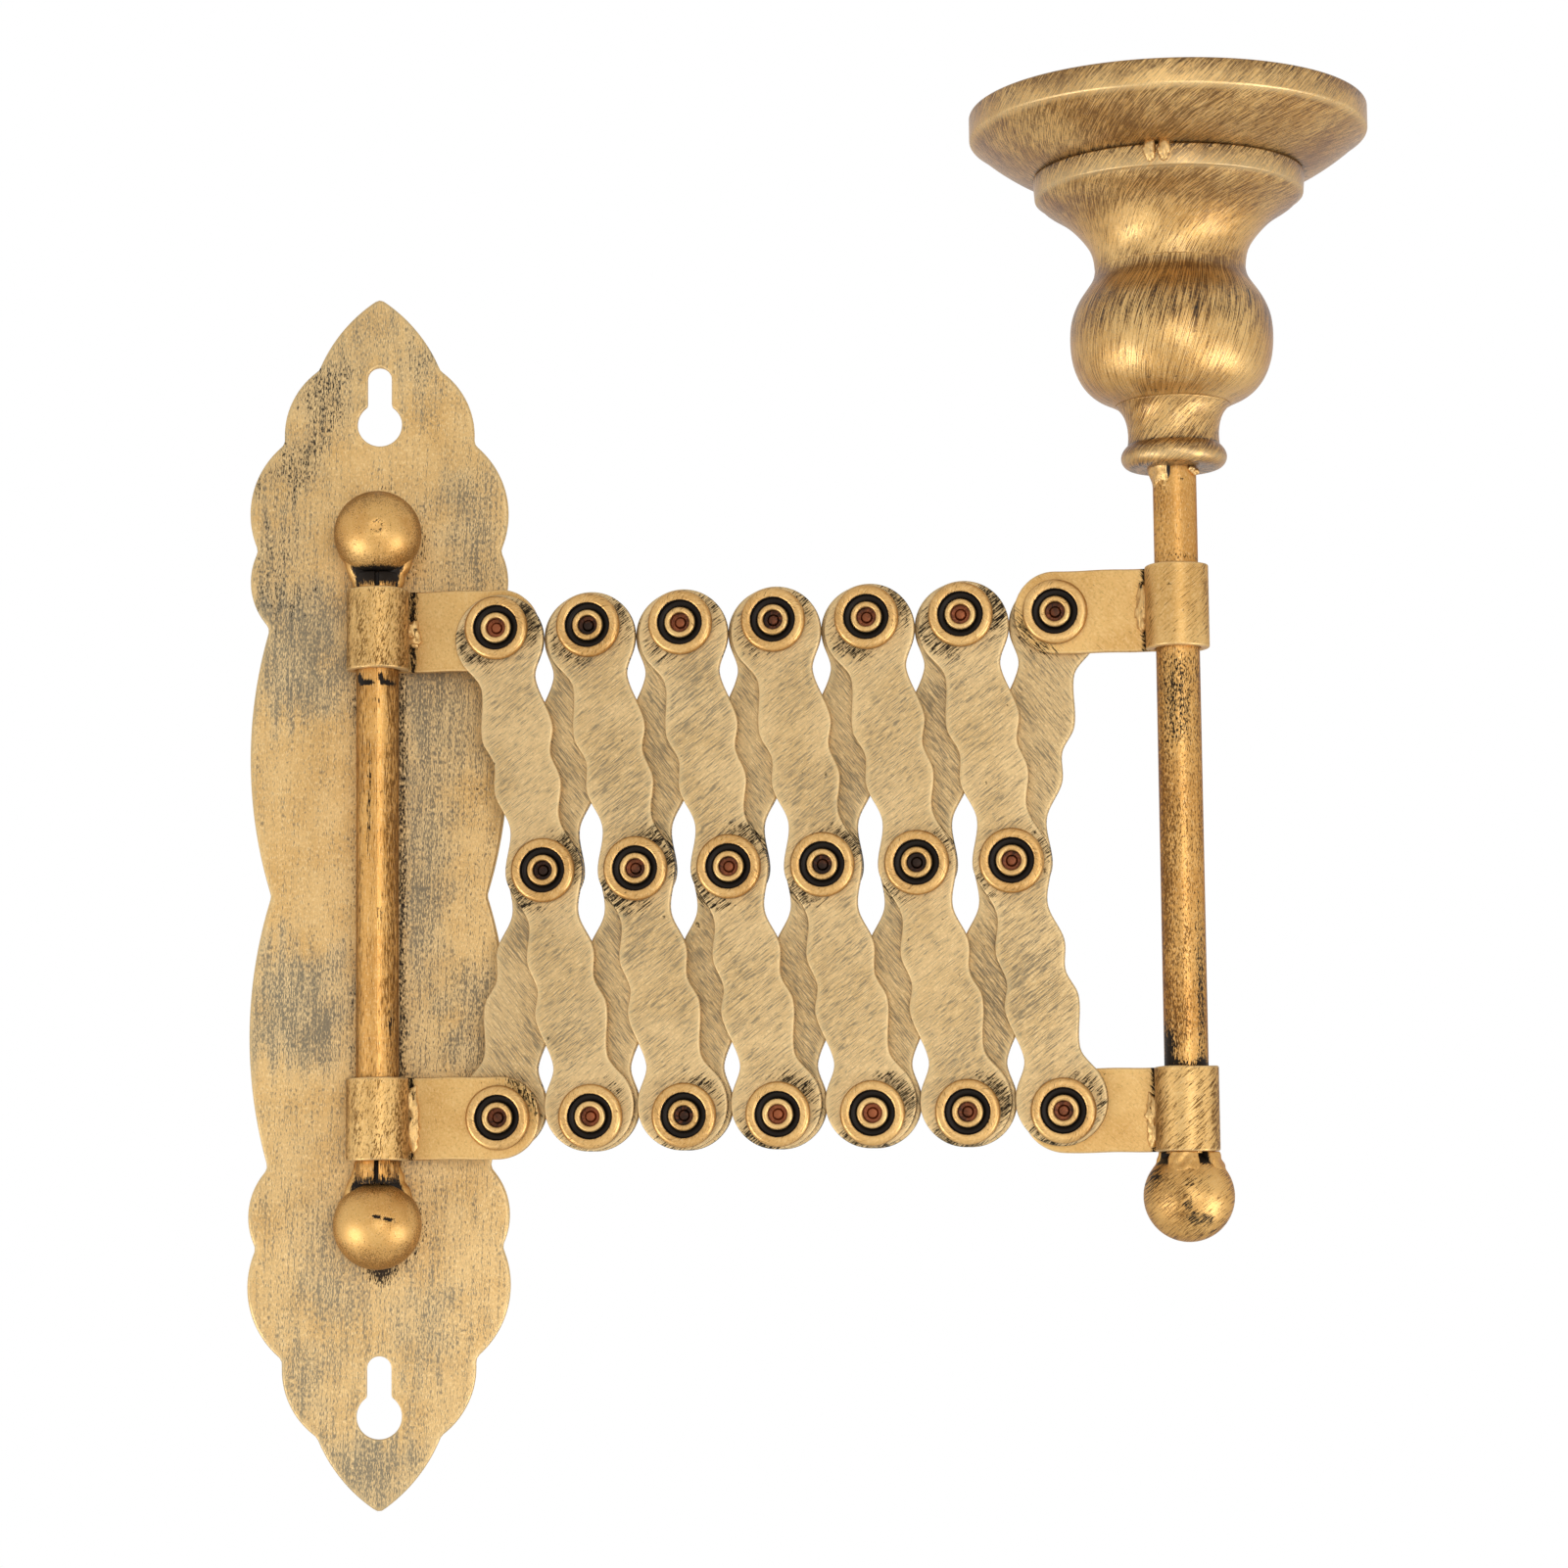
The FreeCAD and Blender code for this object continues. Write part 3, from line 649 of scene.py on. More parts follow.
def turned(profile: Array, segments: int = 96, lean: float = 0.0, closed: bool = True,
           soot_and_shade: Number = 0.0, bare_and_shade: Number = 0.0, wear_and_highlight: Number = 0.0) -> Surface:
    """Profile of (radius, height) points carried round the upright axis.

    x = r cos a, y = r sin a, z = h. The grain lies on a circle that turns on with the
    run along the profile, so strokes lean by a fixed angle and meet without a seam.

    Args:
        profile: points of the profile.
        segments: steps round the axis.
        lean: lean of the strokes from the profile's own direction.
        closed: whether the profile is a closed loop.
        soot_and_shade: dark residue and painted shade of each profile point.
        bare_and_shade: undercoat showing through, and painted shade, of each profile point.
        wear_and_highlight: rubbed edges and painted highlight of each profile point.

    Returns:
        The closed surface round the origin.
    """
    angle = np.linspace(0.0, TURN, segments, endpoint=False)[None]
    radius, height = profile[:, :1], profile[:, 1:]
    run = run_of(profile)[:, None]
    size = max(2.0, float(np.median(profile[:, 0])))
    twist = angle - run * math.tan(math.radians(lean)) / size
    paint = [np.broadcast_to(np.asarray(v, float).reshape(-1, 1), twist.shape) for v in (wear_and_highlight, soot_and_shade, bare_and_shade)]
    values = (round_axis(radius, angle, height), round_axis(size, twist, run), np.stack(paint, -1))
    points, grain, marks = (value.reshape(-1, 3) for value in values)
    cells = quads(len(profile), segments, closed, True)
    return Surface(points, [cells], grain, marks).welded().outward()


def split_tube(height: Array, outer: Array, inner: Array, gap: Array, facing: float,
               arcs: int = 60) -> Surface:
    """Tube rolled from sheet, open along one line.

    At each height the section is a C: an outer arc and an inner arc that stop half the
    gap short of the facing direction. Where both radii are equal the tube is closed off.

    Args:
        height: heights of the rows.
        outer: outer radius of each row.
        inner: inner radius of each row.
        gap: width of the open line at each row.
        facing: direction of the open line in degrees.
        arcs: points on each arc.

    Returns:
        The closed surface round the origin.
    """
    # shares of an arc, close together beside the open line to keep its edges crisp
    part = np.r_[0.0, 0.001, 0.007, np.linspace(0.02, 0.98, arcs), 0.993, 0.999, 1.0]
    angles, radii = [], []
    for radius, way in ((outer, part), (inner, part[::-1])):
        half = np.arcsin(np.clip(gap / 2.0 / radius, 0.0, 0.9))[:, None]
        angles.append(half + way[None] * (TURN - 2.0 * half))
        radii.append(np.broadcast_to(radius[:, None], angles[-1].shape))
    angle = np.concatenate(angles, 1) + math.radians(facing)
    radius = np.concatenate(radii, 1)
    points = round_axis(radius, angle, height[:, None]).reshape(-1, 3)
    grain = round_axis(float(outer.max()), angle, height[:, None]).reshape(-1, 3)
    cells = quads(len(height), angle.shape[1], False, True)
    return Surface(points, [cells], grain, points * 0.0).welded().outward()


def lump(centre: Sequence[float], radii: Sequence[float], seed: int, rough: float = 0.16) -> Surface:
    """Weld lump: an ellipsoid whose radius is swollen by a broad and a fine random field.

    Args:
        centre: its middle.
        radii: half sizes along the three directions.
        seed: seed of the fields.
        rough: amount of swelling.

    Returns:
        The closed surface.
    """
    rows, columns, polish = 23, 32, 0.35
    polar = np.linspace(0.0, math.pi, rows)[:, None]
    around = np.linspace(0.0, TURN, columns, endpoint=False)[None]
    unit = round_axis(np.sin(polar), around, np.cos(polar))
    swell = 1.0 + rough * (wobble(unit, 1.6, seed) + 0.7 * wobble(unit * np.array(radii), 1.0, seed + 1))
    points = (np.array(centre) + np.array(radii) * unit * swell[..., None]).reshape(-1, 3)
    marks = np.zeros_like(points)
    marks[:, 0] = polish
    return Surface(points, [quads(rows, columns, False, True)], points.copy(), marks).welded().outward()


def weld_ear(foot: Sequence[float], top: Sequence[float], middle: float, half: float, core: float,
             seed: int) -> Surface:
    """Weld that fills the crease round an upright axis over part of a turn.

    Its side runs with a slight sag from foot to top, both (radius, height). Towards both
    ends of its bearings it sinks to the core radius, inside the pieces that it joins.

    Args:
        foot: lower end of the side.
        top: upper end of the side.
        middle: bearing of its middle in degrees.
        half: half of its bearings in degrees.
        core: radius that it sinks to.
        seed: seed of its unevenness.

    Returns:
        The closed surface, painted black as shade where it sinks away.
    """
    rows, columns, sag, rough = 17, 61, 0.1, 0.12
    part = np.linspace(-1.0, 1.0, columns)[None]
    t = np.linspace(0.0, 1.0, rows)[:, None]
    side = foot[0] + (top[0] - foot[0]) * t - sag * np.sin(math.pi * t)
    up = foot[1] + (top[1] - foot[1]) * t + 0.0 * part
    rise = ease(1.0, 0.66, np.abs(part))
    uneven = rough * wobble(np.stack([3.0 * part + 0.0 * t, up], -1), 2.0, seed)
    outer = core + (side + uneven - core) * rise
    radius = np.vstack([outer, np.full_like(outer, core)])
    angle = np.radians(middle + half * part)
    points = round_axis(radius, angle, np.vstack([up, up[::-1]])).reshape(-1, 3)
    marks = np.zeros_like(points)
    # painted shade: black where the weld sinks into the crease
    marks[:, 1] = np.tile(1.2 * ease(0.97, 0.6, rise[0]), 2 * rows)
    cells = quads(2 * rows, columns, True, False)
    return Surface(points, [cells], points.copy(), marks).welded().outward()


# Finishes
def srgb(red: int, green: int, blue: int) -> Colour:
    """Linear colour by the sRGB curve.

    Args:
        red: 8-bit red.
        green: 8-bit green.
        blue: 8-bit blue.

    Returns:
        The opaque colour.
    """
    parts = np.array([red, green, blue]) / 255.0
    linear = np.where(parts <= 0.04045, parts / 12.92, ((parts + 0.055) / 1.055) ** 2.4)
    return (float(linear[0]), float(linear[1]), float(linear[2]), 1.0)


class NodeBench:
    """Shorthand for wiring one material's nodes."""

    def __init__(self, name: str) -> None:
        """Starts an empty node material.

        Args:
            name: name of the material.
        """
        self.material = bpy.data.materials.new(name)
        self.material.use_nodes = True
        self.tree = self.material.node_tree
        self.tree.nodes.clear()

    def add(self, kind: str, inputs: dict, outlet: Union[int, str] = 0, **settings: object) -> Socket:
        """Adds a node.

        Args:
            kind: node type.
            inputs: values or sockets by input name or number.
            outlet: output to hand back.
            **settings: properties of the node.

        Returns:
            The chosen output socket.
        """
        node = self.tree.nodes.new(kind)
        for key, value in settings.items():
            setattr(node, key, value)
        for key, value in inputs.items():
            if isinstance(value, Socket):
                self.tree.links.new(value, node.inputs[key])
            else:
                node.inputs[key].default_value = value
        return node.outputs[outlet]

    def value(self, operation: str, a: Feed, b: Feed, clamp: bool = False) -> Socket:
        """Math node."""
        return self.add("ShaderNodeMath", {0: a, 1: b}, operation=operation, use_clamp=clamp)

    def weighed(self, terms: Sequence[tuple[Feed, float]], base: float) -> Feed:
        """Sum of sockets times weights, plus a base.

        Args:
            terms: sockets and their weights.
            base: number that is added.

        Returns:
            The sum, or the base alone where there are no terms.
        """
        total: Feed = base
        for socket, weight in terms:
            terms_so_far = {0: socket, 1: weight, 2: total}
            total = self.add("ShaderNodeMath", terms_so_far, operation="MULTIPLY_ADD")
        return total

    def step(self, value: Feed, low: float, high: float) -> Socket:
        """Smooth step from 0 at low to 1 at high."""
        ends = {"Value": value, "From Min": low, "From Max": high}
        return self.add("ShaderNodeMapRange", ends, interpolation_type="SMOOTHSTEP")

    def mix(self, factor: Feed, a: Feed, b: Feed) -> Socket:
        """Colour a turned into b by a factor."""
        return self.add("ShaderNodeMix", {0: factor, 6: a, 7: b}, 2, data_type="RGBA")

    def noise(self, vector: Feed, scale: Sequence[float], detail: float, rough: float = 0.55) -> Socket:
        """Noise on a stretched vector.

        Args:
            vector: places.
            scale: stretch along each direction.
            detail: number of octaves.
            rough: weight of each further octave.

        Returns:
            The noise.
        """
        spread = self.add("ShaderNodeMapping", {"Vector": vector, "Scale": scale})
        settings = {"Vector": spread, "Scale": 1.0, "Detail": detail, "Roughness": rough}
        return self.add("ShaderNodeTexNoise", settings)

    def painted(self, name: str) -> Socket:
        """Vector of a painted vertex value."""
        return self.add("ShaderNodeAttribute", {}, "Vector", attribute_name=name)

    def close(self, shader: Socket) -> bpy.types.Material:
        """Joins a shader to the output.

        Args:
            shader: the shader.

        Returns:
            The finished material.
        """
        output = self.tree.nodes.new("ShaderNodeOutputMaterial")
        self.tree.links.new(shader, output.inputs["Surface"])
        return self.material


@dataclass(frozen=True)
class GoldPaint:
    """Gold paint brushed thinly over a grey and black undercoat.

    cover, streaks and drift set how much undercoat shows: all over, in streaks and in
    patches. fine is the strokes to the millimetre, run their length over their width and
    patch the patches to the metre. fleck and grit are the amounts of bright and grey grains.
    """

    name: str
    gold: Colour = srgb(222, 184, 124)
    warm: Colour = srgb(212, 168, 102)
    under: Colour = srgb(122, 124, 112)
    black: Colour = srgb(24, 22, 20)
    bright: Colour = srgb(246, 216, 160)
    rim: Colour = srgb(190, 160, 120)
    core: Optional[Colour] = None
    haze: Optional[Colour] = None
    cover: float = 0.0
    fine: float = 7.5
    run: float = 15.0
    patch: float = 90.0
    drift: float = 0.25
    streaks: float = 0.25
    metal: float = 0.5
    rough: float = 0.42
    relief: float = 0.35
    fleck: float = 0.55
    grit: float = 0.22
    coat: float = 0.0
    depth: float = 0.62

    def material(self) -> bpy.types.Material:
        """Builds the paint.

        Hairline noise stretched along the grain, pushed by broad streaks, patches and the
        painted undercoat and shade, decides where the grey shows; the residue and painted
        shade do the same for the black. Rubbed edges and painted highlights brighten, and
        the strokes raise the surface.

        Returns:
            The finished material.
        """
        bench = NodeBench(self.name)
        grain = bench.painted("grain")
        split = bench.tree.nodes.new("ShaderNodeSeparateXYZ")
        bench.tree.links.new(bench.painted("marks"), split.inputs[0])
        wear_and_highlight, soot_and_shade, bare_and_shade = split.outputs
        place = bench.add("ShaderNodeTexCoord", {}, "Object")
        fine, slow = self.fine, self.fine / self.run
        hair = bench.noise(grain, (fine, fine, slow), 1.0)
        streak = bench.noise(grain, (fine / 2.5, fine / 2.5, slow / 10.0), 2.0)
        cloud = bench.noise(place, (self.patch,) * 3, 3.0)
        flake = bench.noise(place, (2300.0, 2300.0, 2300.0), 2.0, 0.7)
        thin_coat_and_shade = [(hair, 0.95), (flake, 0.45), (streak, self.streaks), (cloud, self.drift)]
        if self.core is None:
            thin_coat_and_shade.append((bare_and_shade, 0.18))
        level = self.cover - 0.31 - 0.5 * (self.streaks + self.drift)
        grey = bench.step(bench.weighed(thin_coat_and_shade, level), 0.39, 0.57)
        # black from residue and from painted shade
        crust = bench.weighed([(hair, 0.65), (flake, 0.35), (streak, 0.25), (soot_and_shade, 0.46)], -0.45)
        black = bench.step(crust, 0.42, 0.58)
        pits = bench.noise(place, (700.0, 700.0, 700.0), 2.0)
        dots = bench.step(bench.weighed([(pits, 1.0), (cloud, 0.3)], 0.0), 0.90, 0.96)
        tone = bench.mix(bench.step(cloud, 0.35, 0.68), self.gold, self.warm)
        if self.haze is not None:
            tone = bench.mix(bench.value("MULTIPLY", bare_and_shade, 0.45, True), tone, self.haze)
        spark = bench.step(bench.weighed([(flake, 0.6), (hair, -0.4)], 0.0), 0.10, 0.24)
        tone = bench.mix(bench.value("MULTIPLY", spark, self.fleck), tone, self.bright)
        tone = bench.mix(bench.value("MULTIPLY", bench.step(flake, 0.46, 0.30), self.grit), tone, self.under)
        depth = bench.weighed([(bare_and_shade, 0.15)] if self.core is None else [], self.depth)
        tone = bench.mix(bench.value("MULTIPLY", grey, depth, True), tone, self.under)
        # rubbed edges and painted highlight lines turn bright
        shine = bench.value("MULTIPLY", wear_and_highlight, bench.step(hair, 0.3, 0.6), True)
        tone = bench.mix(bench.value("MULTIPLY", shine, 0.7), tone, self.bright)
        dark = bench.value("MAXIMUM", black, bench.value("MULTIPLY", dots, 0.7))
        tone = bench.mix(dark, tone, self.black)
        metal = bench.weighed([(grey, -0.25), (dark, -0.40)], self.metal)
        rough = bench.weighed([(grey, 0.10), (dark, 0.15), (shine, -0.08), (flake, 0.14)], self.rough - 0.07)
        if self.core is not None:
            burnt = bench.step(bench.weighed([(cloud, 0.8), (streak, 0.2)], 0.0), 0.42, 0.6)
            tone = bench.mix(bare_and_shade, tone, bench.mix(burnt, self.core, self.black))
        height = bench.weighed([(hair, 0.7), (flake, 0.35), (grey, -0.25), (dark, -0.3)], 0.0)
        bump = bench.add("ShaderNodeBump", {"Strength": self.relief, "Distance": 0.0001, "Height": height})
        shader = bench.add("ShaderNodeBsdfPrincipled", {
            "Base Color": tone, "Metallic": metal, "Roughness": rough, "Normal": bump,
            "Specular Tint": self.rim, "Coat Weight": self.coat, "Coat Roughness": 0.32})
        return bench.close(shader)


@dataclass(frozen=True)
class DarkSteel:
    """Blackened steel with turning marks, for the hidden fasteners."""

    name: str
    steel: Colour = srgb(96, 92, 86)
    burnt: Colour = srgb(44, 41, 38)

    def material(self) -> bpy.types.Material:
        """Builds the steel from fine scratches and a mottled burn.

        Returns:
            The finished material.
        """
        bench = NodeBench(self.name)
        place = bench.add("ShaderNodeTexCoord", {}, "Object")
        mottle = bench.noise(place, (700.0, 700.0, 700.0), 3.0)
        scratch = bench.noise(place, (300.0, 4200.0, 4200.0), 2.0)
        tone = bench.mix(bench.step(bench.weighed([(mottle, 0.7), (scratch, 0.3)], 0.0), 0.35, 0.65),
                         self.steel, self.burnt)
        bump = bench.add("ShaderNodeBump", {"Strength": 0.3, "Distance": 0.00008, "Height": scratch})
        shader = bench.add("ShaderNodeBsdfPrincipled", {
            "Base Color": tone, "Metallic": 0.9, "Roughness": bench.weighed([(mottle, 0.25)], 0.28),
            "Normal": bump})
        return bench.close(shader)


BROWN_COAT = dict(under=srgb(102, 66, 28), rim=srgb(140, 100, 56))
GREY_COAT = dict(under=srgb(104, 104, 94), streaks=0.35)
PAINTS = (
    GoldPaint("plate_gold", warm=srgb(213, 171, 108), under=srgb(116, 116, 106), black=srgb(48, 42, 38),
              haze=srgb(196, 182, 150), cover=-0.025, fine=6.0, run=4.5, patch=150.0, drift=0.16,
              streaks=0.55, depth=0.6),
    GoldPaint("tube_gold", gold=srgb(218, 166, 94), warm=srgb(200, 144, 74), **BROWN_COAT, cover=-0.06,
              fine=6.5, run=10.0, metal=0.75, rough=0.38, relief=0.3, fleck=0.3, coat=0.1, depth=0.75),
    GoldPaint("ball_gold", gold=srgb(222, 176, 106), warm=srgb(208, 156, 86), **BROWN_COAT, cover=-0.10,
              run=14.0, metal=0.7, relief=0.2, fleck=0.2, grit=0.12, coat=0.15),
    GoldPaint("collar_gold", gold=srgb(230, 187, 119), warm=srgb(216, 169, 101), **BROWN_COAT, cover=-0.07,
              fine=8.0, run=12.0, metal=0.55, rough=0.41, relief=0.3, fleck=0.35, depth=0.75),
    GoldPaint("front_link_gold", gold=srgb(224, 191, 138), warm=srgb(214, 179, 124), **GREY_COAT, cover=0.01),
    GoldPaint("rear_link_gold", gold=srgb(214, 181, 129), warm=srgb(204, 169, 116), **GREY_COAT, cover=0.04),
    GoldPaint("washer_gold", gold=srgb(222, 178, 112), warm=srgb(206, 158, 92), **BROWN_COAT, cover=-0.08,
              fine=5.0, run=3.0, metal=0.7, rough=0.34, relief=0.2, fleck=0.3, coat=0.2),
    GoldPaint("rivet_gold", gold=srgb(224, 184, 120), warm=srgb(208, 162, 96), **BROWN_COAT, cover=-0.10,
              core=srgb(146, 82, 50), black=srgb(40, 28, 22), fine=5.0, run=3.0, metal=0.7, rough=0.36,
              relief=0.15, fleck=0.2, coat=0.2),
    GoldPaint("cup_gold", gold=srgb(230, 186, 116), warm=srgb(208, 158, 86), **BROWN_COAT, cover=-0.02,
              fine=8.2, run=34.0, metal=0.7, rough=0.33, relief=0.7, fleck=0.4, coat=0.5, depth=0.75),
    DarkSteel("screw_steel"))
FINISHES: dict[str, Union[GoldPaint, DarkSteel]] = {paint.name: paint for paint in PAINTS}
MATERIALS: dict[str, bpy.types.Material] = {}


def finish_of(slot: str) -> bpy.types.Material:
    """Material of a slot, made on first use.

    Args:
        slot: name of the slot.

    Returns:
        Its material.
    """
    if slot not in MATERIALS:
        MATERIALS[slot] = FINISHES[slot].material()
    return MATERIALS[slot]


def make_mesh(name: str, surface: Surface) -> bpy.types.Mesh:
    """Puts a surface into a smooth Blender mesh with its painted values.

    Args:
        name: name of the mesh.
        surface: the shape in millimetres.

    Returns:
        The mesh in metres.
    """
    mesh = bpy.data.meshes.new(name)
    corners = np.concatenate([q.ravel() for q in surface.polys]).astype(np.int32)
    sizes = np.concatenate([np.full(len(q), q.shape[1]) for q in surface.polys])
    starts = np.r_[0, np.cumsum(sizes)[:-1]].astype(np.int32)
    mesh.vertices.add(len(surface.points))
    mesh.vertices.foreach_set("co", (surface.points * MM).astype(np.float32).ravel())
    mesh.loops.add(len(corners))
    mesh.loops.foreach_set("vertex_index", corners)
    mesh.polygons.add(len(sizes))
    mesh.polygons.foreach_set("loop_start", starts)
    mesh.update(calc_edges=True)
    mesh.polygons.foreach_set("use_smooth", np.ones(len(sizes), bool))
    for key in ("grain", "marks"):
        layer = mesh.attributes.new(key, "FLOAT_VECTOR", "POINT")
        layer.data.foreach_set("vector", getattr(surface, key).astype(np.float32).ravel())
    mesh.validate()
    return mesh


def set_piece(name: str, node: str, surface: Surface) -> bpy.types.Object:
    """Makes a piece that stands for a node, on its body and in its finish.

    Args:
        name: name of the piece.
        node: node that it stands for.
        surface: its shape in frame places.

    Returns:
        The piece.
    """
    piece = bpy.data.objects.new(name, make_mesh(name, surface))
    bpy.context.scene.collection.objects.link(piece)
    piece.data.materials.append(finish_of(SLOT_OF[node]))
    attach(piece, BODY_OF[node])
    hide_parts(node)
    log.info("%s stands for %s on %s, %d points", name, node, BODY_OF[node], len(surface.points))
    return piece


# Sub-assemblies
@dataclass
class WallPlate:
    """Scalloped wall plate with keyholes and countersunk anchor holes."""

    tip_up: float = 103.5
    sheet: float = 1.5
    edge: float = 0.5
    tip_round: float = 1.2
    corner_round: float = 1.6
    hole_edge: float = 0.25
    # drop below the tip and half width at each notch and each crest
    notches: tuple = ((12.6, 10.4), (25.5, 16.2), (44.1, 20.7), (57.5, 18.7), (103.5, 18.3))
    crests: tuple = ((6.1, 6.7), (17.5, 14.7), (37.3, 22.1), (49.6, 22.0), (80.5, 21.9))
    keyhole_ups: tuple = (81.4, -87.6)
    keyhole_r: float = 3.8
    slot_half: float = 2.05
    slot_rise: float = 8.0
    anchor_ups: tuple = (61.006, -55.606)
    anchor_r: float = 1.51
    anchor_head_r: float = 2.81
    anchor_sink: float = 1.0
    # patches of the brushed finish: across, up, half width, half height, bare, soot
    patches: tuple = (
        (-9.5, 86.0, 5.5, 8.5, 0.55, 0.60), (-15.5, 73.5, 6.0, 5.5, 0.45, 0.58),
        (7.0, 92.0, 3.5, 6.0, 0.4, 0.40), (-17.5, 57.0, 5.5, 9.0, 0.5, 0.50),
        (15.5, 63.0, 6.0, 11.0, 0.5, 0.15), (0.0, 97.0, 7.0, 6.0, 0.3, 0.2),
        (-13.5, 41.0, 9.0, 10.5, 0.85, 0.25), (-14.0, -18.5, 10.0, 10.5, 0.85, 0.10),
        (16.0, -21.0, 5.0, 9.0, 0.6, 0.05), (12.0, 34.0, 8.0, 14.0, 0.55, 0.0),
        (8.0, 4.0, 4.5, 16.0, 0.45, 0.0), (-8.0, -62.0, 6.0, 9.0, 0.4, 0.0),
        (-1.0, -98.0, 9.0, 8.0, 0.7, 0.25), (8.0, -72.0, 4.0, 8.0, 0.4, 0.0),
        (2.0, 78.0, 12.0, 5.0, -0.2, 0.0), (-12.0, 12.0, 9.0, 18.0, -0.15, 0.0),
        (0.0, -70.0, 24.0, 30.0, 0.2, 0.0), (-14.0, -82.0, 6.0, 7.0, 0.4, 0.2))
    # painted shadow mixed with residue beside the tube and past the balls
    rod_shadow: tuple = ((0.85, (3.6, 1.5)), (0.5, (-4.3, 1.2)))
    ball_shadow: tuple = ((0.7, (0.0, 3.2), (-64.5, 2.4)), (0.5, (1.0, 3.0), (70.0, 2.0)))

    def outline(self) -> Array:
        """Scalloped outline.

        Each lobe is the circle through two notches and its crest. Notches are filled by a
        circle that touches both lobes from outside, the tip by one that touches from
        inside, and the quarter is mirrored both ways.

        Returns:
            The counter-clockwise loop.
        """
        corner = np.array([(0.0, self.tip_up)] + [(half, self.tip_up - drop) for drop, half in self.notches])
        crest = np.array([(half, self.tip_up - drop) for drop, half in self.crests])
        a, b, c = corner[:-1], crest, corner[1:]
        sides = np.stack([b - a, c - a], 1)
        right = np.stack([(b**2 - a**2).sum(1), (c**2 - a**2).sum(1)], 1) / 2.0
        centre = np.linalg.solve(sides, right[..., None])[..., 0]
        radius = np.linalg.norm(a - centre, axis=1)
        tip_in = radius[0] - self.tip_round
        tip = np.array([0.0, centre[0, 1] + math.sqrt(tip_in**2 - centre[0, 0] ** 2)])
        fills = []
        for i in range(1, 5):
            fills.append(self.meet(centre[i - 1], radius[i - 1], centre[i], radius[i], corner[i]))
        reach = radius[4] + self.corner_round
        fills.append(np.array([centre[4, 0] + math.sqrt(reach**2 - centre[4, 1] ** 2), 0.0]))
        quarter, here = [], np.array([0.0, tip[1] + self.tip_round])
        stops = [tip] + fills
        for i in range(5):
            touch = [centre[i] + radius[i] * (stop - centre[i]) / np.linalg.norm(stop - centre[i])
                     for stop in stops[i:i + 2]]
            quarter.append(arc(stops[i], here, touch[0], 8))
            quarter.append(arc(centre[i], touch[0], touch[1], 60))
            here = touch[1]
        quarter.append(arc(fills[4], here, fills[4] - [self.corner_round, 0.0], 8))
        side = np.vstack(quarter)
        half = np.vstack([side, (side * [1.0, -1.0])[::-1][1:]])
        loop = np.vstack([half, (half * [-1.0, 1.0])[::-1][1:-1]])
        return resample(loop[::-1], 0.75)

    def meet(self, p: Array, rp: float, q: Array, rq: float, near: Array) -> Array:
        """Centre of the corner fill that touches two lobes from outside.

        It is where the lobes' circles cross once they are widened by the fill's radius.

        Args:
            p: centre of the first lobe.
            rp: its radius.
            q: centre of the second lobe.
            rq: its radius.
            near: notch that picks one of the two crossings.

        Returns:
            The centre.
        """
        rp, rq = rp + self.corner_round, rq + self.corner_round
        line = q - p
        far = float(np.linalg.norm(line))
        line = line / far
        along = (far**2 + rp**2 - rq**2) / (2.0 * far)
        aside = math.sqrt(max(rp**2 - along**2, 0.0))
        choices = [p + along * line + s * aside * np.array([-line[1], line[0]]) for s in (1.0, -1.0)]
        return min(choices, key=lambda point: float(np.linalg.norm(point - near)))

    def keyhole(self, up: float) -> Array:
        """Round hole with a narrower slot above it and eased corners between them.

        Args:
            up: height of the round part's middle.

        Returns:
            The counter-clockwise loop.
        """
        ease_r = 0.6
        middle = np.zeros(2)
        corner = np.array([self.slot_half + ease_r, 0.0])
        corner[1] = math.sqrt((self.keyhole_r + ease_r) ** 2 - corner[0] ** 2)
        touch = corner * self.keyhole_r / (self.keyhole_r + ease_r)
        top = np.array([self.slot_half, self.slot_rise])
        low = np.array([0.0, -self.keyhole_r])
        half = np.vstack([arc(middle, low, touch, 30), arc(corner, touch, corner - [ease_r, 0.0], 6),
                          arc(top * [0.0, 1.0], top, top * [0.0, 1.0] + [0.0, self.slot_half], 12)])
        loop = np.vstack([half, (half * [-1.0, 1.0])[::-1][1:-1]])
        return resample(loop + [0.0, up], 0.4)

    def sink_rings(self) -> Array:
        """Rings of a countersunk hole: straight from the front, then a cone to the back.

        Returns:
            The rings as (inset, depth).
        """
        wide = self.anchor_head_r - self.anchor_r
        deep = self.sheet - self.anchor_sink
        return np.array([[0.02, 0.0], [0.0, 0.05], [0.0, deep], [wide, self.sheet]])

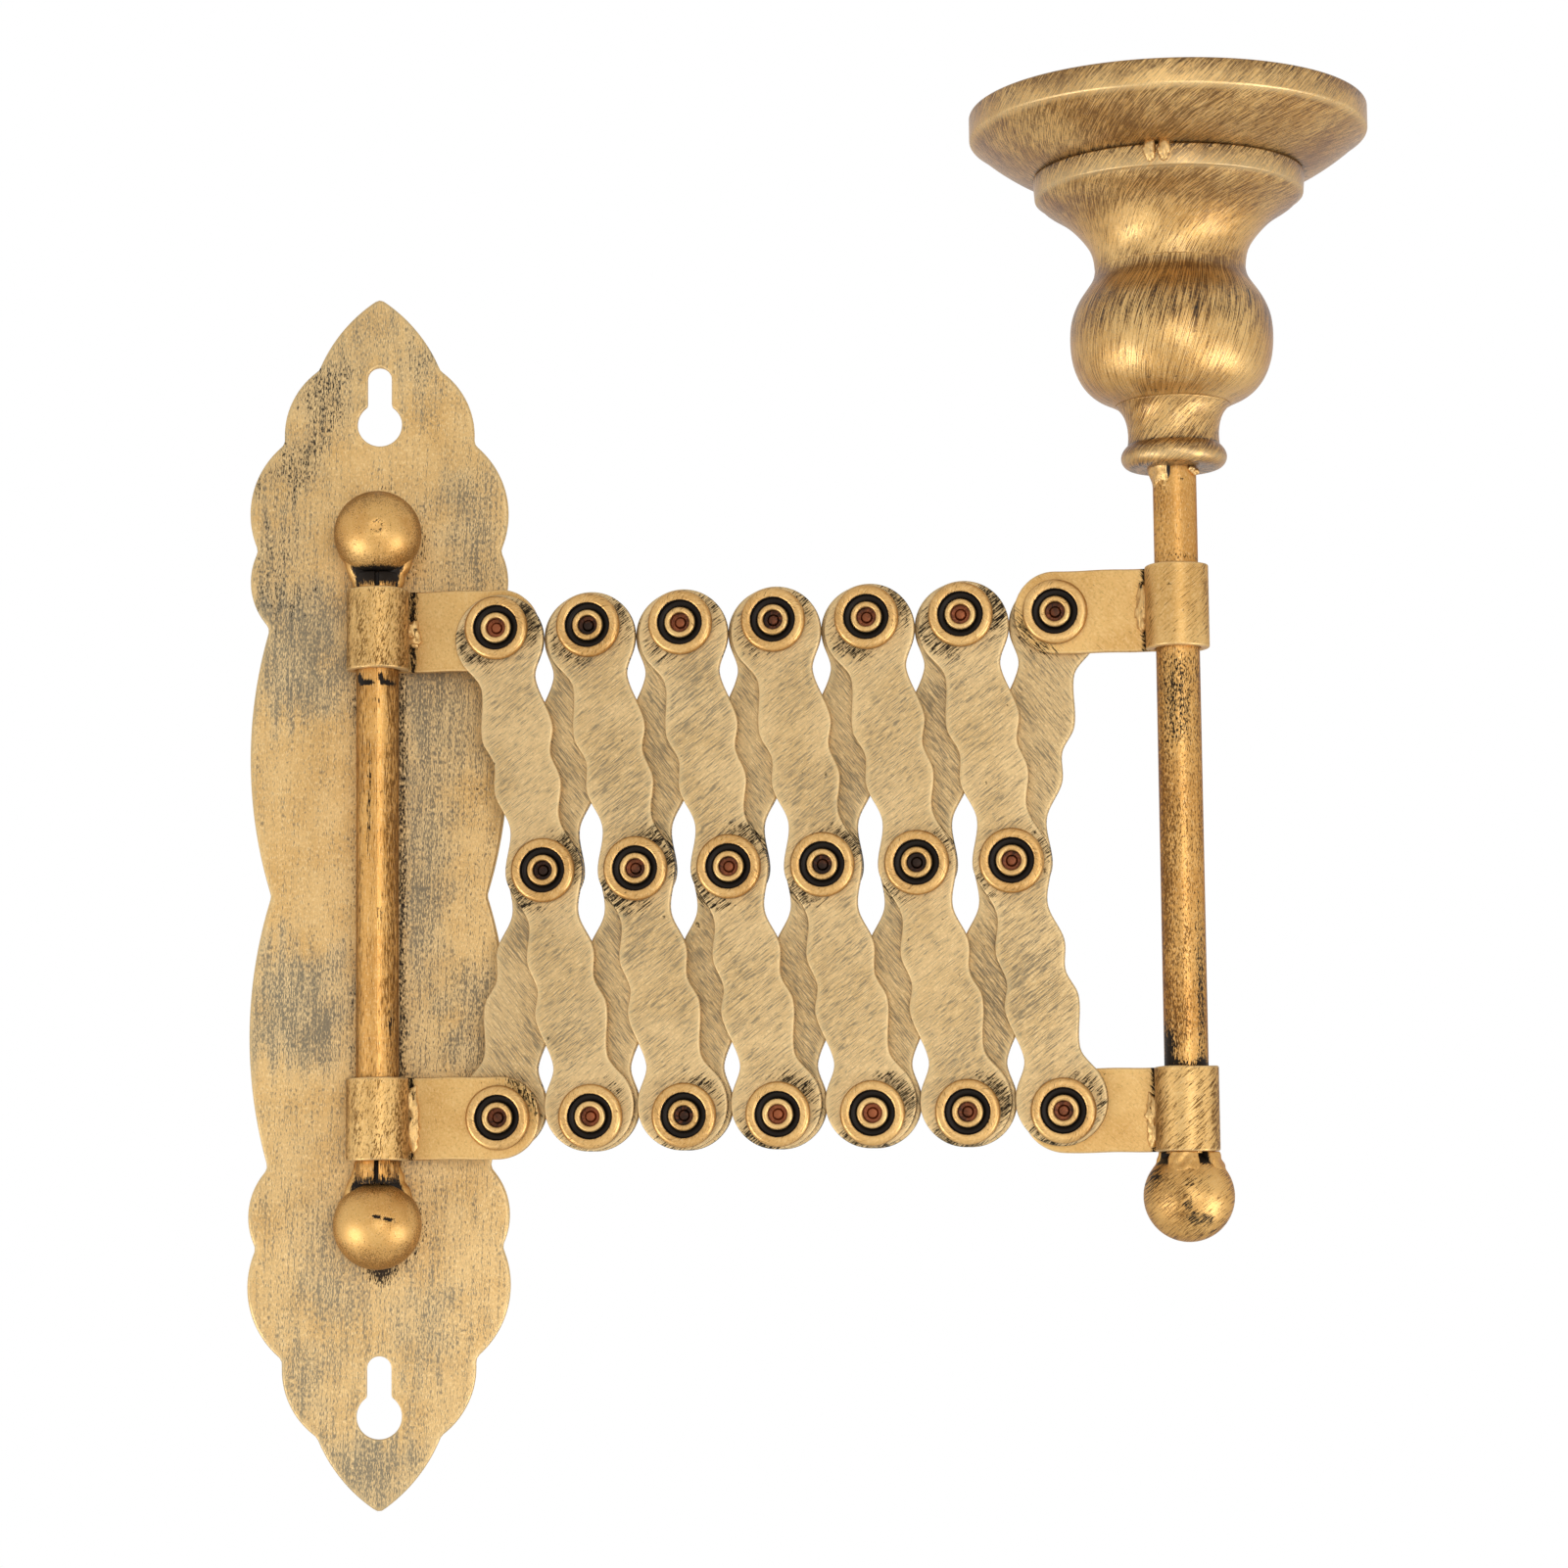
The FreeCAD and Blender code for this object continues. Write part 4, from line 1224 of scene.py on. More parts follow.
    def build(self) -> None:
        """Makes the plate: blank, dished a hair by a smooth field, brushed upright and patched."""
        edge = rolled_edge(self.sheet, self.edge, 0.5)
        fine = rolled_edge(self.sheet, self.hole_edge, 0.2)
        holes = [self.keyhole(up) for up in self.keyhole_ups]
        holes += [ring(0.0, up, self.anchor_r, 32) for up in self.anchor_ups]
        rings = [edge, fine, fine, self.sink_rings(), self.sink_rings()]
        sheet = blank(self.outline(), holes, rings, 1.1)
        flat = sheet.points[:, :2]
        front = ease(0.9, 0.2, sheet.points[:, 2])
        sheet.grain = brushed(flat, 88.5, 1.0)
        bare_and_shade, soot_and_shade = np.zeros(len(flat)), np.zeros(len(flat))
        ragged = flat[:, 0] + 1.8 * wobble(flat, 9.0, 31)
        combed = flat[:, 1] + 2.0 * wobble(flat[:, :1], 3.2, 32) + 1.2 * wobble(flat, 12.0, 33)
        for across, up, wide, tall, thin_coat_and_shade, dirt in self.patches:
            spot = hill(ragged, across, wide, 3.0) * hill(combed, up, tall, 6.0)
            bare_and_shade += thin_coat_and_shade * spot
            soot_and_shade += dirt * spot
        # painted shadow mixed with residue on the plate beside the tube, heaviest on its right
        rod = ease(-50.0, -44.0, flat[:, 1]) * ease(56.0, 50.0, flat[:, 1])
        soot_and_shade += rod * spots(self.rod_shadow, flat[:, 0])
        bare_and_shade += rod * 0.35 * hill(flat[:, 0], 6.0, 4.0)
        # painted contact shade mixed with residue on the plate round each ball and past it
        for up in self.anchor_ups:
            round_ball = np.linalg.norm(flat - [1.2, up - 0.8], axis=1)
            soot_and_shade += 0.6 * hill(round_ball, 6.2, 1.7)
        soot_and_shade += spots(self.ball_shadow, flat[:, 0], flat[:, 1])
        # painted shade: the sheet's side faces darker, a dark outline along its edges
        soot_and_shade += 0.5 * ease(0.7, 1.0, sheet.marks[:, 0]) * ease(0.2, 0.5, sheet.points[:, 2])
        sheet.painted(soot_and_shade * np.maximum(front, 0.7), bare_and_shade)
        dish = 0.05 * wobble(flat, 34.0, 5) * front
        sheet = sheet.moved(lambda p: np.c_[p[:, 0], p[:, 2] - self.sheet - dish * (p[:, 2] < 0.4), p[:, 1]])
        set_piece("scalloped_plate", "backplate", sheet.outward())
        anchors = frame["nodes"]["anchor_rivets"]
        anchors.data.materials.clear()
        anchors.data.materials.append(finish_of(SLOT_OF["anchor_rivets"]))
        log.info("anchor_rivets keep their shape, in steel")


@dataclass
class BallFinial:
    """Ball with a spigot that goes into its tube, welded round the joint."""

    name: str
    node: str
    spigot_way: float
    # height over the centre where the black of the joint starts, painted shade in the gap under the welds
    black_up: float
    # lean of the brush strokes, where the ball is brushed; the others are seated on the plate
    strokes: Optional[float] = None
    radius: float = LAYOUT.ball_r
    spigot_r: float = 2.79
    spigot_long: float = 6.0
    seat_deep: float = 0.25
    # residue on a brushed ball, across and up
    patches: tuple = ((0.9, (2.2, 2.2), (-3.6, 1.1)), (0.72, (-0.3, 0.9), (-1.4, 0.6)),
                      (0.72, (-5.6, 1.6), (3.4, 2.0)))

    def ear(self, k: int, middle: float, half: float, polar: float, top_r: float, top_up: float) -> Surface:
        """Weld from the ball up to its tube.

        Args:
            k: its number.
            middle: bearing of its middle in degrees.
            half: half of its bearings in degrees.
            polar: angle of its foot from the ball's axis.
            top_r: radius of its top.
            top_up: height of its top over the centre.

        Returns:
            The weld.
        """
        at = math.radians(polar)
        foot = (self.radius * math.sin(at) - 0.08, self.radius * math.cos(at))
        return weld_ear(foot, (top_r, top_up), middle, half, self.spigot_r + 0.05, 40 + k)

    def build(self, ears: Sequence[tuple], to_frame: Callable[[Array], Array]) -> None:
        """Makes the ball, its seat against the plate, its welds, its stains and its painted shade.

        Args:
            ears: welds, each as the arguments of ear after its number.
            to_frame: carries places round the ball's centre to the frame.
        """
        top = math.asin(self.spigot_r / self.radius)
        polar = np.linspace(math.pi, top, 64)
        sphere = self.radius * np.c_[np.sin(polar), np.cos(polar)]
        sphere[0, 0] = 0.0
        neck = self.radius * math.cos(top)
        end = neck + self.spigot_long
        profile = np.vstack([sphere, [[self.spigot_r, neck + 0.2], [self.spigot_r, end - 0.4],
                                      [self.spigot_r - 0.4, end], [0.0, end]]])
        # painted shade: black round the joint, in the gap under the welds
        black = 1.2 * ease(self.black_up, self.black_up + 1.1, profile[:, 1])
        ball = turned(profile, 96, 0.0, False, soot_and_shade=black)
        if self.strokes is None:
            self.shade_and_mark_cast(ball)
            ball.points[:, 1] = np.minimum(ball.points[:, 1], self.radius - self.seat_deep)
        else:
            self.stain_brushed(ball, self.strokes)
        welds = [self.ear(k, *ear) for k, ear in enumerate(ears)]
        piece = Surface.joined([ball, *welds]).moved(lambda p: to_frame(p * [1.0, 1.0, self.spigot_way]))
        set_piece(self.name, self.node, piece.flipped() if self.spigot_way < 0.0 else piece)

    def stain_brushed(self, ball: Surface, lean: float) -> None:
        """Brush strokes at a lean, with residue in three patches of the front.

        Args:
            ball: surface to stain.
            lean: lean of the strokes in degrees.
        """
        x, y, z = ball.points.T
        ball.grain = brushed(ball.points[:, [0, 2]], lean, 2.0)
        patch = spots(self.patches, x, z) * ease(0.0, -3.0, y)
        thin_coat_and_shade = 0.7 + 0.35 * wobble(ball.points, 7.0, 3) + 0.3 * ease(-3.5, 0.0, y)
        stain = 0.2 + 0.35 * ease(-0.2, 1.2, wobble(ball.points, 5.0, 8))
        ball.painted(np.minimum(patch + stain, 0.8), thin_coat_and_shade)

    def shade_and_mark_cast(self, ball: Surface) -> None:
        """Painted shade, darker towards the sides, the back and both ends of the axis, with a
        cut line on the lower ball's front or a small dent on the upper's.

        Args:
            ball: surface to stain and dent.
        """
        x, y, z = ball.points.T
        spot = np.linalg.norm(ball.points[:, [0, 2]] - [0.2, -0.2], axis=1)
        front = ease(-4.0, -6.0, y)
        # painted shade: more undercoat, so darker, towards the sides and back and both ends of the axis
        thin_coat_and_shade = 1.3 * ease(-5.8, -1.0, y) + 0.5 * ease(2.5, 6.0, z) + 0.7 * ease(-1.0, -5.5, z)
        thin_coat_and_shade += 0.2 * wobble(ball.points, 5.0, 4)
        ball.grain[:, 2] *= 8.0
        if self.spigot_way > 0.0:
            line = hill(z, 1.5 - 0.2 * x, 0.36) * hill(x, 1.4, 2.2, 6.0) * front
            ball.painted(1.2 * line * (1.0 + 0.4 * wobble(ball.points, 1.2, 5)), thin_coat_and_shade)
            dent = -0.06 * line
        else:
            # painted shade: the upper ball darker still towards its tube
            ball.painted(0.6 * hill(spot, 0.9, 0.5) * front, thin_coat_and_shade + 0.45 * ease(-1.0, 6.0, z))
            dent = (0.12 * hill(spot, 1.5, 0.4) - 0.16 * hill(spot, 0.0, 1.0)) * front
        ball.points += ball.points / self.radius * dent[:, None]


@dataclass
class PivotPost:
    """Rolled pivot tube between its two ball finials."""

    foot_up: float = -48.756
    head_up: float = 54.156
    tube_r: float = LAYOUT.tube_r
    bore_r: float = LAYOUT.bore_r
    spread_r: float = 3.9
    foot_spread: float = 3.75
    head_spread: float = 2.0
    slit: float = 0.8
    slit_long: float = 9.0
    seam: float = 0.02
    # residue on the tube's front, up and across: dashes under the collar, then lone stains
    stains: tuple = (
        (1.4, (35.3, 0.55, 4.0), (-1.6, 1.3, 4.0)), (1.4, (35.3, 0.55, 4.0), (1.9, 1.3, 4.0)),
        (1.4, (36.2, 1.0, 4.0), (-2.9, 0.45)), (1.4, (36.2, 1.0, 4.0), (0.7, 0.4)),
        (0.62, (32.4, 1.0), (0.0, 1.6)), (0.72, (15.0, 13.0, 4.0), (-1.3, 0.55)),
        (0.65, (-4.0, 3.0), (0.6, 1.0)), (0.75, (-22.0, 4.0), (2.3, 1.0)))
    side_stains: tuple = ((0.8, (-38.0, 6.0), (3.0, 1.0)),)
    # weld of each ball, as the arguments of BallFinial.ear after its number
    ears: tuple = ((90.0, 150.0, 61.0, 3.9, 9.7),)

    def to_frame(self, points: Array) -> Array:
        """Places round the pivot axis in the frame."""
        return points + [0.0, -LAYOUT.axis_out, 0.0]

    def build(self) -> None:
        """Makes the split tube with spread ends and slits, then its balls."""
        tall = self.head_up - self.foot_up
        ends = np.array([0.0, 0.0, 0.05, 0.25])
        up = np.r_[ends, np.linspace(0.6, tall - 0.6, 150), tall - ends[::-1]]
        spread = ease(self.foot_spread, self.foot_spread - 0.5, up)
        spread += ease(tall - self.head_spread, tall - 1.5, up)
        outer = self.tube_r + (self.spread_r - self.tube_r) * spread
        inner = np.full_like(up, self.bore_r)
        middle = (outer + inner) / 2.0
        lip = np.minimum(up, tall - up)
        eased = np.where(lip < 0.2, 0.75 + lip * 1.25, 1.0)
        outer = middle + (outer - middle) * eased
        inner = middle - (middle - inner) * eased
        outer[[0, -1]] = inner[[0, -1]] = middle[[0, -1]]
        gap = np.maximum(self.slit * ease(self.slit_long, self.slit_long - 0.5, lip), self.seam)
        tube = split_tube(up, outer, inner, gap, -90.0)
        tube.points[:, 2] += self.foot_up
        z = tube.points[:, 2]
        across = tube.points[:, 0]
        front = ease(0.5, -1.5, tube.points[:, 1])
        soot_and_shade = front * spots(self.stains, z, across) + spots(self.side_stains, z, across)
        soot_and_shade += 1.3 * ease(self.head_up - 3.4, self.head_up - 0.8, z)
        soot_and_shade += 0.55 * ease(self.foot_up + 2.5, self.foot_up, z)
        # painted shade: more brown undercoat down the tube's right side and left edge, for their dark
        # reflection
        thin_coat_and_shade = 1.5 * ease(0.8, 2.6, across) + 0.8 * ease(-1.6, -3.2, across)
        tube.painted(soot_and_shade + 0.4 * ease(-34.0, -38.0, z), thin_coat_and_shade + 0.2 * wobble(np.c_[across, z / 8.0], 3.0, 2))
        set_piece("rolled_pivot_tube", "pivot_tube", tube.moved(self.to_frame))
        for name, up, way, black in (("upper", self.head_up + LAYOUT.seat_reach, -1.0, 5.3),
                                     ("lower", self.foot_up - LAYOUT.seat_reach, 1.0, 6.1)):
            ball = BallFinial(name + "_ball", name + "_ball_finial", way, black)
            ball.build(self.ears, lambda p, up=up: self.to_frame(p + [0.0, 0.0, up]))


@dataclass
class StrapCollar:
    """Strap bent round a tube, with its free end butted and welded to the tab's front."""

    node: str
    row: Row
    end: End
    layer: Layer
    # bearing of the free end in degrees, lumps of its weld, and how clean the loop is from 0 to 1
    butt: float
    weld: tuple
    clean: float
    edge: float = 0.3
    loop_r: float = 4.5
    hole_r: float = 2.25
    # lean of the brush strokes on the wall's collars and the stem's, in degrees
    wall_lean: float = 78.0
    stem_lean: float = 136.0
    tall: float = LAYOUT.collar_tall
    strip: float = LAYOUT.strip

    def path(self) -> Path:
        """Plan line: along the tab, an eased step, round behind the tube to the butt.

        The sharp line is blended with its own running mean near the step.

        Returns:
            The line.
        """
        back = LAYOUT.face(self.layer) + self.strip / 2.0
        kink = math.asin(back / self.loop_r)
        start = LAYOUT.pivot_reach + self.tall / 2.0
        bend_at = self.loop_r * math.cos(kink)
        step = 0.1
        line = np.arange(start, bend_at, -step)
        angle = np.arange(kink, TURN + math.radians(self.butt), step / self.loop_r)
        plan = np.vstack([np.c_[line, np.full(len(line), back)],
                          self.loop_r * np.c_[np.cos(angle), np.sin(angle)]])
        reach = 30
        bell = np.exp(-0.5 * (np.arange(-reach, reach + 1) / 11.0) ** 2)
        bell /= bell.sum()
        padded = np.pad(plan, ((reach, reach), (0, 0)), "edge")
        soft = np.stack([np.convolve(padded[:, i], bell, "valid") for i in (0, 1)], 1)
        near = hill(np.arange(len(plan)) * step, len(line) * step, 3.2, 4.0)[:, None]
        return Path(plan * (1.0 - near) + soft * near)

    def build(self) -> None:
        """Makes the strap from a flat blank with one round end, bends it and adds its weld."""
        path = self.path()
        long = float(run_of(path.points)[-1]) - 0.05
        half = self.tall / 2.0
        turn = np.linspace(math.pi / 2.0, 1.5 * math.pi, 60)
        free = rounded([(half, -half, 0.0), (long, -half, 0.5), (long, half, 0.5), (half, half, 0.0)], False)
        round_end = np.c_[half + half * np.cos(turn), half * np.sin(turn)][1:-1]
        loop = resample(np.vstack([round_end, free]), 0.5)
        edge = rolled_edge(self.strip, self.edge, 0.15)
        strap = blank(loop, [ring(half, 0.0, self.hole_r)], [edge, edge], 0.9)
        run, up = strap.points[:, 0], strap.points[:, 1]
        on_loop = ease(LAYOUT.pivot_reach + half - 6.5, LAYOUT.pivot_reach + half - 4.0, run)
        lean = self.wall_lean if self.end is End.WALL else self.stem_lean
        strap.grain = brushed(strap.points[:, :2], lean, 3.0 + self.end.value + 0.4 * self.row.value)
        strap.grain[:, 2] *= 2.2 if self.end is End.WALL else 1.0
        tail = long - run
        # dark at the butted free end: weld residue, and painted shade in the gap against the tab
        soot_and_shade = 0.9 * hill(tail, 0.3, 1.2) * (0.7 + 0.3 * wobble(strap.points, 4.0, 8))
        # painted shadow in the crease where the strap steps from the tab into the loop
        soot_and_shade += 1.0 * hill(run, LAYOUT.pivot_reach + half - 5.4, 0.8) * ease(0.9, 0.2, strap.points[:, 2])
        streaks = wobble(np.c_[run, up / 6.0], 3.0, 21 + self.end.value)
        soot_and_shade += on_loop * (0.4 - 0.5 * self.clean) * ease(0.2, 1.3, streaks)
        eye = strap.points[:, :2] - [half, 0.0]
        away = np.clip(-(eye @ [0.75, 0.66 * self.row.value]) / 6.0, 0.0, 1.0)
        soot_and_shade += 0.8 * away * hill(np.linalg.norm(eye, axis=1), 6.0, 1.6)
        mottle = 0.45 + 0.35 * wobble(np.c_[run, up / 7.0], 3.0, 4) - self.clean
        strap.painted(soot_and_shade, on_loop * mottle - 0.6 * (1.0 - on_loop))
        strap.points[:, 1] += 0.05 * wobble(strap.points[:, :1], 14.0, 6)
        bent = strap.moved(lambda p: path.carry(p, self.strip)).outward()
        # painted shade: more brown undercoat on both sides of the loop round the tube
        bent.painted(bare_and_shade=on_loop * (0.9 * ease(3.0, 5.2, np.abs(bent.points[:, 0])) - 0.1))
        welds = [self.bead(k, *bead) for k, bead in enumerate(self.weld)]
        piece = Surface.joined([bent, *welds]).moved(self.to_frame)
        set_piece(self.node + "_strap", self.node, piece if self.end is End.WALL else piece.flipped())

    def bead(self, seed: int, up: float, tall: float, wide: float) -> Surface:
        """Weld lump in the crease between the loop and the tab's front.

        Args:
            seed: its number.
            up: height of its middle.
            tall: half its height.
            wide: half its width.

        Returns:
            The lump.
        """
        centre = (5.3, LAYOUT.face(self.layer) - 0.25, up)
        bead = lump(centre, (wide, 0.85, tall), 60 + seed + 7 * self.row.value, 0.2)
        return bead.painted(0.8 * ease(0.7, 1.4, wobble(bead.points, 2.2, seed)))

    def to_frame(self, points: Array) -> Array:
        """Places round the collar's tube in the frame; a stem collar's tab points back.

        Args:
            points: places round the tube's axis at the row's height.

        Returns:
            The places in the frame.
        """
        base = LAYOUT.stem_reach if self.end is End.STEM else 0.0
        along = base + self.end.value * points[:, 0]
        return LAYOUT.to_frame(np.c_[along, points[:, 1], points[:, 2] + LAYOUT.row_up(self.row)])


@dataclass
class LinkRow:
    """The twelve wavy links, six in each layer."""

    half: float = LAYOUT.link_half
    # radius of the round ends, how far their centres lie in from the end pivots, and the angle
    # from the link's length at which the waves meet them
    lobe_r: float = 7.6
    lobe_inset: float = 1.85
    lobe_join: float = 60.0
    hole_r: float = 2.25
    edge: float = 0.32
    # distance in from the end pivot and half width
    waves: tuple = ((9.6, 4.7), (18.1, 6.2), (22.7, 4.95), (27.3, 5.8), (33.7, 4.3))
    middle: float = 6.6
    # bearings of the residue right of and below the low, middle and high washer, in degrees
    smear_right: tuple = (42.0, 40.0, 20.0)
    smear_below: tuple = (250.0, 235.0, 225.0)

    def outline(self) -> Array:
        """Outline: cubic curves between the stations, level at each, and round ends set a little in.

        Returns:
            The counter-clockwise loop.
        """
        join = math.radians(self.lobe_join)
        lobe_up = self.half - self.lobe_inset
        joint = (lobe_up - self.lobe_r * math.cos(join), self.lobe_r * math.sin(join))
        waves = [(self.half - inset, wide) for inset, wide in self.waves[::-1]]
        upper = [(0.0, self.middle)] + waves + [joint]
        stations = np.array([(-z, x) for z, x in upper[:0:-1]] + upper)
        slopes = np.zeros(len(stations))
        slopes[[0, -1]] = [-1.0 / math.tan(join), 1.0 / math.tan(join)]
        up = np.linspace(stations[0, 0], stations[-1, 0], 190)
        right = np.c_[hermite(stations, slopes, up), up]
        crown = np.linspace(join - math.pi / 2.0, 1.5 * math.pi - join, 60)[1:-1]
        crown = np.c_[self.lobe_r * np.cos(crown), lobe_up + self.lobe_r * np.sin(crown)]
        left, heel = (right * [-1.0, 1.0])[::-1], -crown
        return resample(np.vstack([right, crown, left, heel]), 0.62)

    def build(self) -> None:
        """Makes one blank and places it for every link, with its own strokes and stains."""
        edge = rolled_edge(LAYOUT.strip, self.edge, 0.8)
        holes = [ring(0.0, up, self.hole_r, 36) for up in (-self.half, 0.0, self.half)]
        plain = blank(self.outline(), holes, [edge] * 4, 1.5)
        for layer in Layer:
            for stage in range(LAYOUT.stages):
                self.place(plain, layer, stage)

    def place(self, plain: Surface, layer: Layer, stage: int) -> None:
        """Leans a copy of the blank in the arm's plane and sets it at its crossing.

        Args:
            plain: the blank.
            layer: layer of the link.
            stage: its pair, from 0 at the wall.
        """
        lean = math.radians(layer.value * LAYOUT.fold)
        flat, depth = plain.points[:, :2], plain.points[:, 2]
        upright = np.c_[flat[:, 0] * math.cos(lean) + flat[:, 1] * math.sin(lean),
                        flat[:, 1] * math.cos(lean) - flat[:, 0] * math.sin(lean)]
        along = LAYOUT.pivot_along(stage + 0.5) + upright[:, 0]
        seed = stage + 1.0 + 0.37 * layer.value
        grain = brushed(upright, 38.0 if layer is Layer.FRONT else 128.0, 2.3 * seed)
        soot_and_shade = np.zeros(len(flat))
        for k, up in enumerate((-self.half, 0.0, self.half)):
            centre = np.array([up * math.sin(lean), up * math.cos(lean)])
            far = upright - centre
            distance = np.linalg.norm(far, axis=1)
            bearing = np.arctan2(far[:, 1], far[:, 0])
            # residue that the brush missed
            high = self.smear_right[k] + 12.0 * math.sin(5.1 * seed + k)
            low = self.smear_below[k] + 10.0 * math.cos(3.7 * seed + k)
            smear = sum(0.9 * np.clip(np.cos(bearing - math.radians(a)), 0.0, 1.0) ** 1.5
                        for a in (high, low))
            soot_and_shade += smear * hill(distance, 6.0, 2.2) * (0.75 + 0.2 * math.sin(7.3 * seed + 2.0 * k))
        places = np.c_[along, depth + LAYOUT.face(layer), upright[:, 1] + LAYOUT.arm_rise]
        link = Surface(places, plain.polys, grain, plain.marks.copy())
        soot_and_shade = np.minimum(soot_and_shade, 0.60)
        # painted shade: the side faces darker, a dark outline along the edges
        rim = 0.6 * ease(0.7, 1.0, plain.marks[:, 0]) * ease(0.15, 0.35, depth)
        uneven = 0.10 * wobble(np.c_[along, upright[:, 1]], 30.0, 9)
        link.painted(soot_and_shade * ease(1.0, 0.2, depth) + 0.25 * soot_and_shade + rim, uneven)
        name = layer.name.lower()
        set_piece("%s_wavy_strip_%d" % (name, stage + 1), "%s_link_%d" % (name, stage + 1),
                  link.moved(LAYOUT.to_frame).outward())


@dataclass
class PivotRivets:
    """Hollow rivets with dished washers, grouped by the piece that holds them."""

    head_r: float = 4.0
    head_tall: float = 1.0
    shank_r: float = 2.2
    grip: float = 3.15
    play: float = 0.05
    lip_r: float = 2.6
    lip_tall: float = 1.0
    bore_r: float = 1.6
    washer_r: float = 5.4
    dish_r: float = 3.65
    washer_floor: float = 0.5
    washer_tall: float = 1.6

    def rivet(self) -> Surface:
        """Turned rivet: head, shank, rolled lip and a bore with the pin's end in it.

        Returns:
            The rivet on its head, round the upright axis.
        """
        floor = self.head_tall + self.grip + self.washer_floor
        top = floor + self.lip_tall
        corners = [(0.0, 0.0, 0.0), (self.head_r, 0.0, 0.55), (self.head_r, self.head_tall, 0.2),
                   (self.shank_r, self.head_tall, 0.0), (self.shank_r, floor, 0.0), (self.lip_r, floor, 0.1),
                   (self.lip_r, top, 0.42), (self.bore_r + 0.02, top, 0.42), (self.bore_r, top - 1.5, 0.15),
                   (0.95, top - 1.55, 0.15), (0.8, top - 1.0, 0.3), (0.0, top - 0.95, 0.0)]
        profile = rounded(corners, False, 7)
        r, h = profile[:, 0], profile[:, 1]
        deep = ease(top - 0.28, top - 0.5, h) * ease(self.bore_r + 0.35, self.bore_r + 0.1, r)
        deep *= ease(floor - 0.9, floor - 0.7, h)
        outside = hill(r, self.lip_r, 0.12, 4.0) * ease(floor + 0.5, floor + 0.1, h)
        crease = hill(r, self.bore_r - 0.25, 0.3) * deep
        return turned(profile, 44, 30.0, False, soot_and_shade=1.5 * outside + 1.1 * crease, bare_and_shade=deep)

    def washer(self) -> Surface:
        """Turned washer: a wide rolled ring round a black dished floor.

        Returns:
            The washer on its foot, round the upright axis.
        """
        corners = [(self.shank_r, 0.0, 0.0), (self.washer_r, 0.0, 0.25),
                   (self.washer_r, self.washer_tall, 0.78), (self.dish_r, self.washer_tall, 0.66),
                   (self.dish_r, self.washer_floor, 0.2), (self.shank_r, self.washer_floor, 0.0)]
        profile = rounded(corners, True, 8)
        r, h = profile[:, 0], profile[:, 1]
        soot_and_shade = 1.6 * ease(self.dish_r + 0.30, self.dish_r + 0.04, r) * ease(0.3, 0.45, h)
        # painted shade: a dark line round the foot of the outer wall, where it sits on the link
        soot_and_shade += 0.9 * hill(r, self.washer_r, 0.2, 4.0) * ease(0.5, 0.2, h)
        return turned(profile, 64, 40.0, True, soot_and_shade=soot_and_shade)

    def seat(self, master: Surface, along: float, up: float, back: float, seed: int) -> Surface:
        """Copy of a turned piece with its axis to the viewer.

        Args:
            master: the piece on its foot.
            along: place along the arm.
            up: height.
            back: depth of its foot.
            seed: number that spins it and shifts its grain.

        Returns:
            The copy in the frame.
        """
        spin = GOLDEN_ANGLE * seed
        x = master.points[:, 0] * math.cos(spin) - master.points[:, 1] * math.sin(spin)
        z = master.points[:, 0] * math.sin(spin) + master.points[:, 1] * math.cos(spin)
        places = LAYOUT.to_frame(np.c_[along + x, back - master.points[:, 2], up + z])
        return Surface(places, master.polys, master.grain + [9.0 * seed, 5.0 * seed, 3.0 * seed],
                       master.marks.copy()).outward()

    def build(self) -> None:
        """Makes every group: two rivets on each rear link, one on each front link and collar."""
        rivet, washer = self.rivet(), self.washer()
        low, high = LAYOUT.row_up(Row.LOWER), LAYOUT.row_up(Row.UPPER)
        groups = [("lower_wall", False, [(0.0, low)]), ("upper_wall", True, [(0.0, high)])]
        for stage in range(LAYOUT.stages):
            crossing = (stage + 0.5, LAYOUT.arm_rise)
            groups.append(("rear_%d" % (stage + 1), True, [crossing, (stage + 1.0, high)]))
            groups.append(("front_%d" % (stage + 1), False, [(stage + 1.0, low)]))
        back_face = LAYOUT.rear_face + LAYOUT.strip
        seed = 0
        for name, rear, places in groups:
            shift = 0.0 if rear else self.play
            rivets, washers = [], []
            for count, up in places:
                seed += 1
                along = LAYOUT.pivot_along(count)
                rivets.append(self.seat(rivet, along, up, back_face + shift + self.head_tall, seed))
                washers.append(self.seat(washer, along, up, back_face + shift - self.grip, seed))
            set_piece(name + "_eyelets", name + "_rivets", Surface.joined(rivets))
            set_piece(name + "_dished_rings", name + "_washers", Surface.joined(washers))


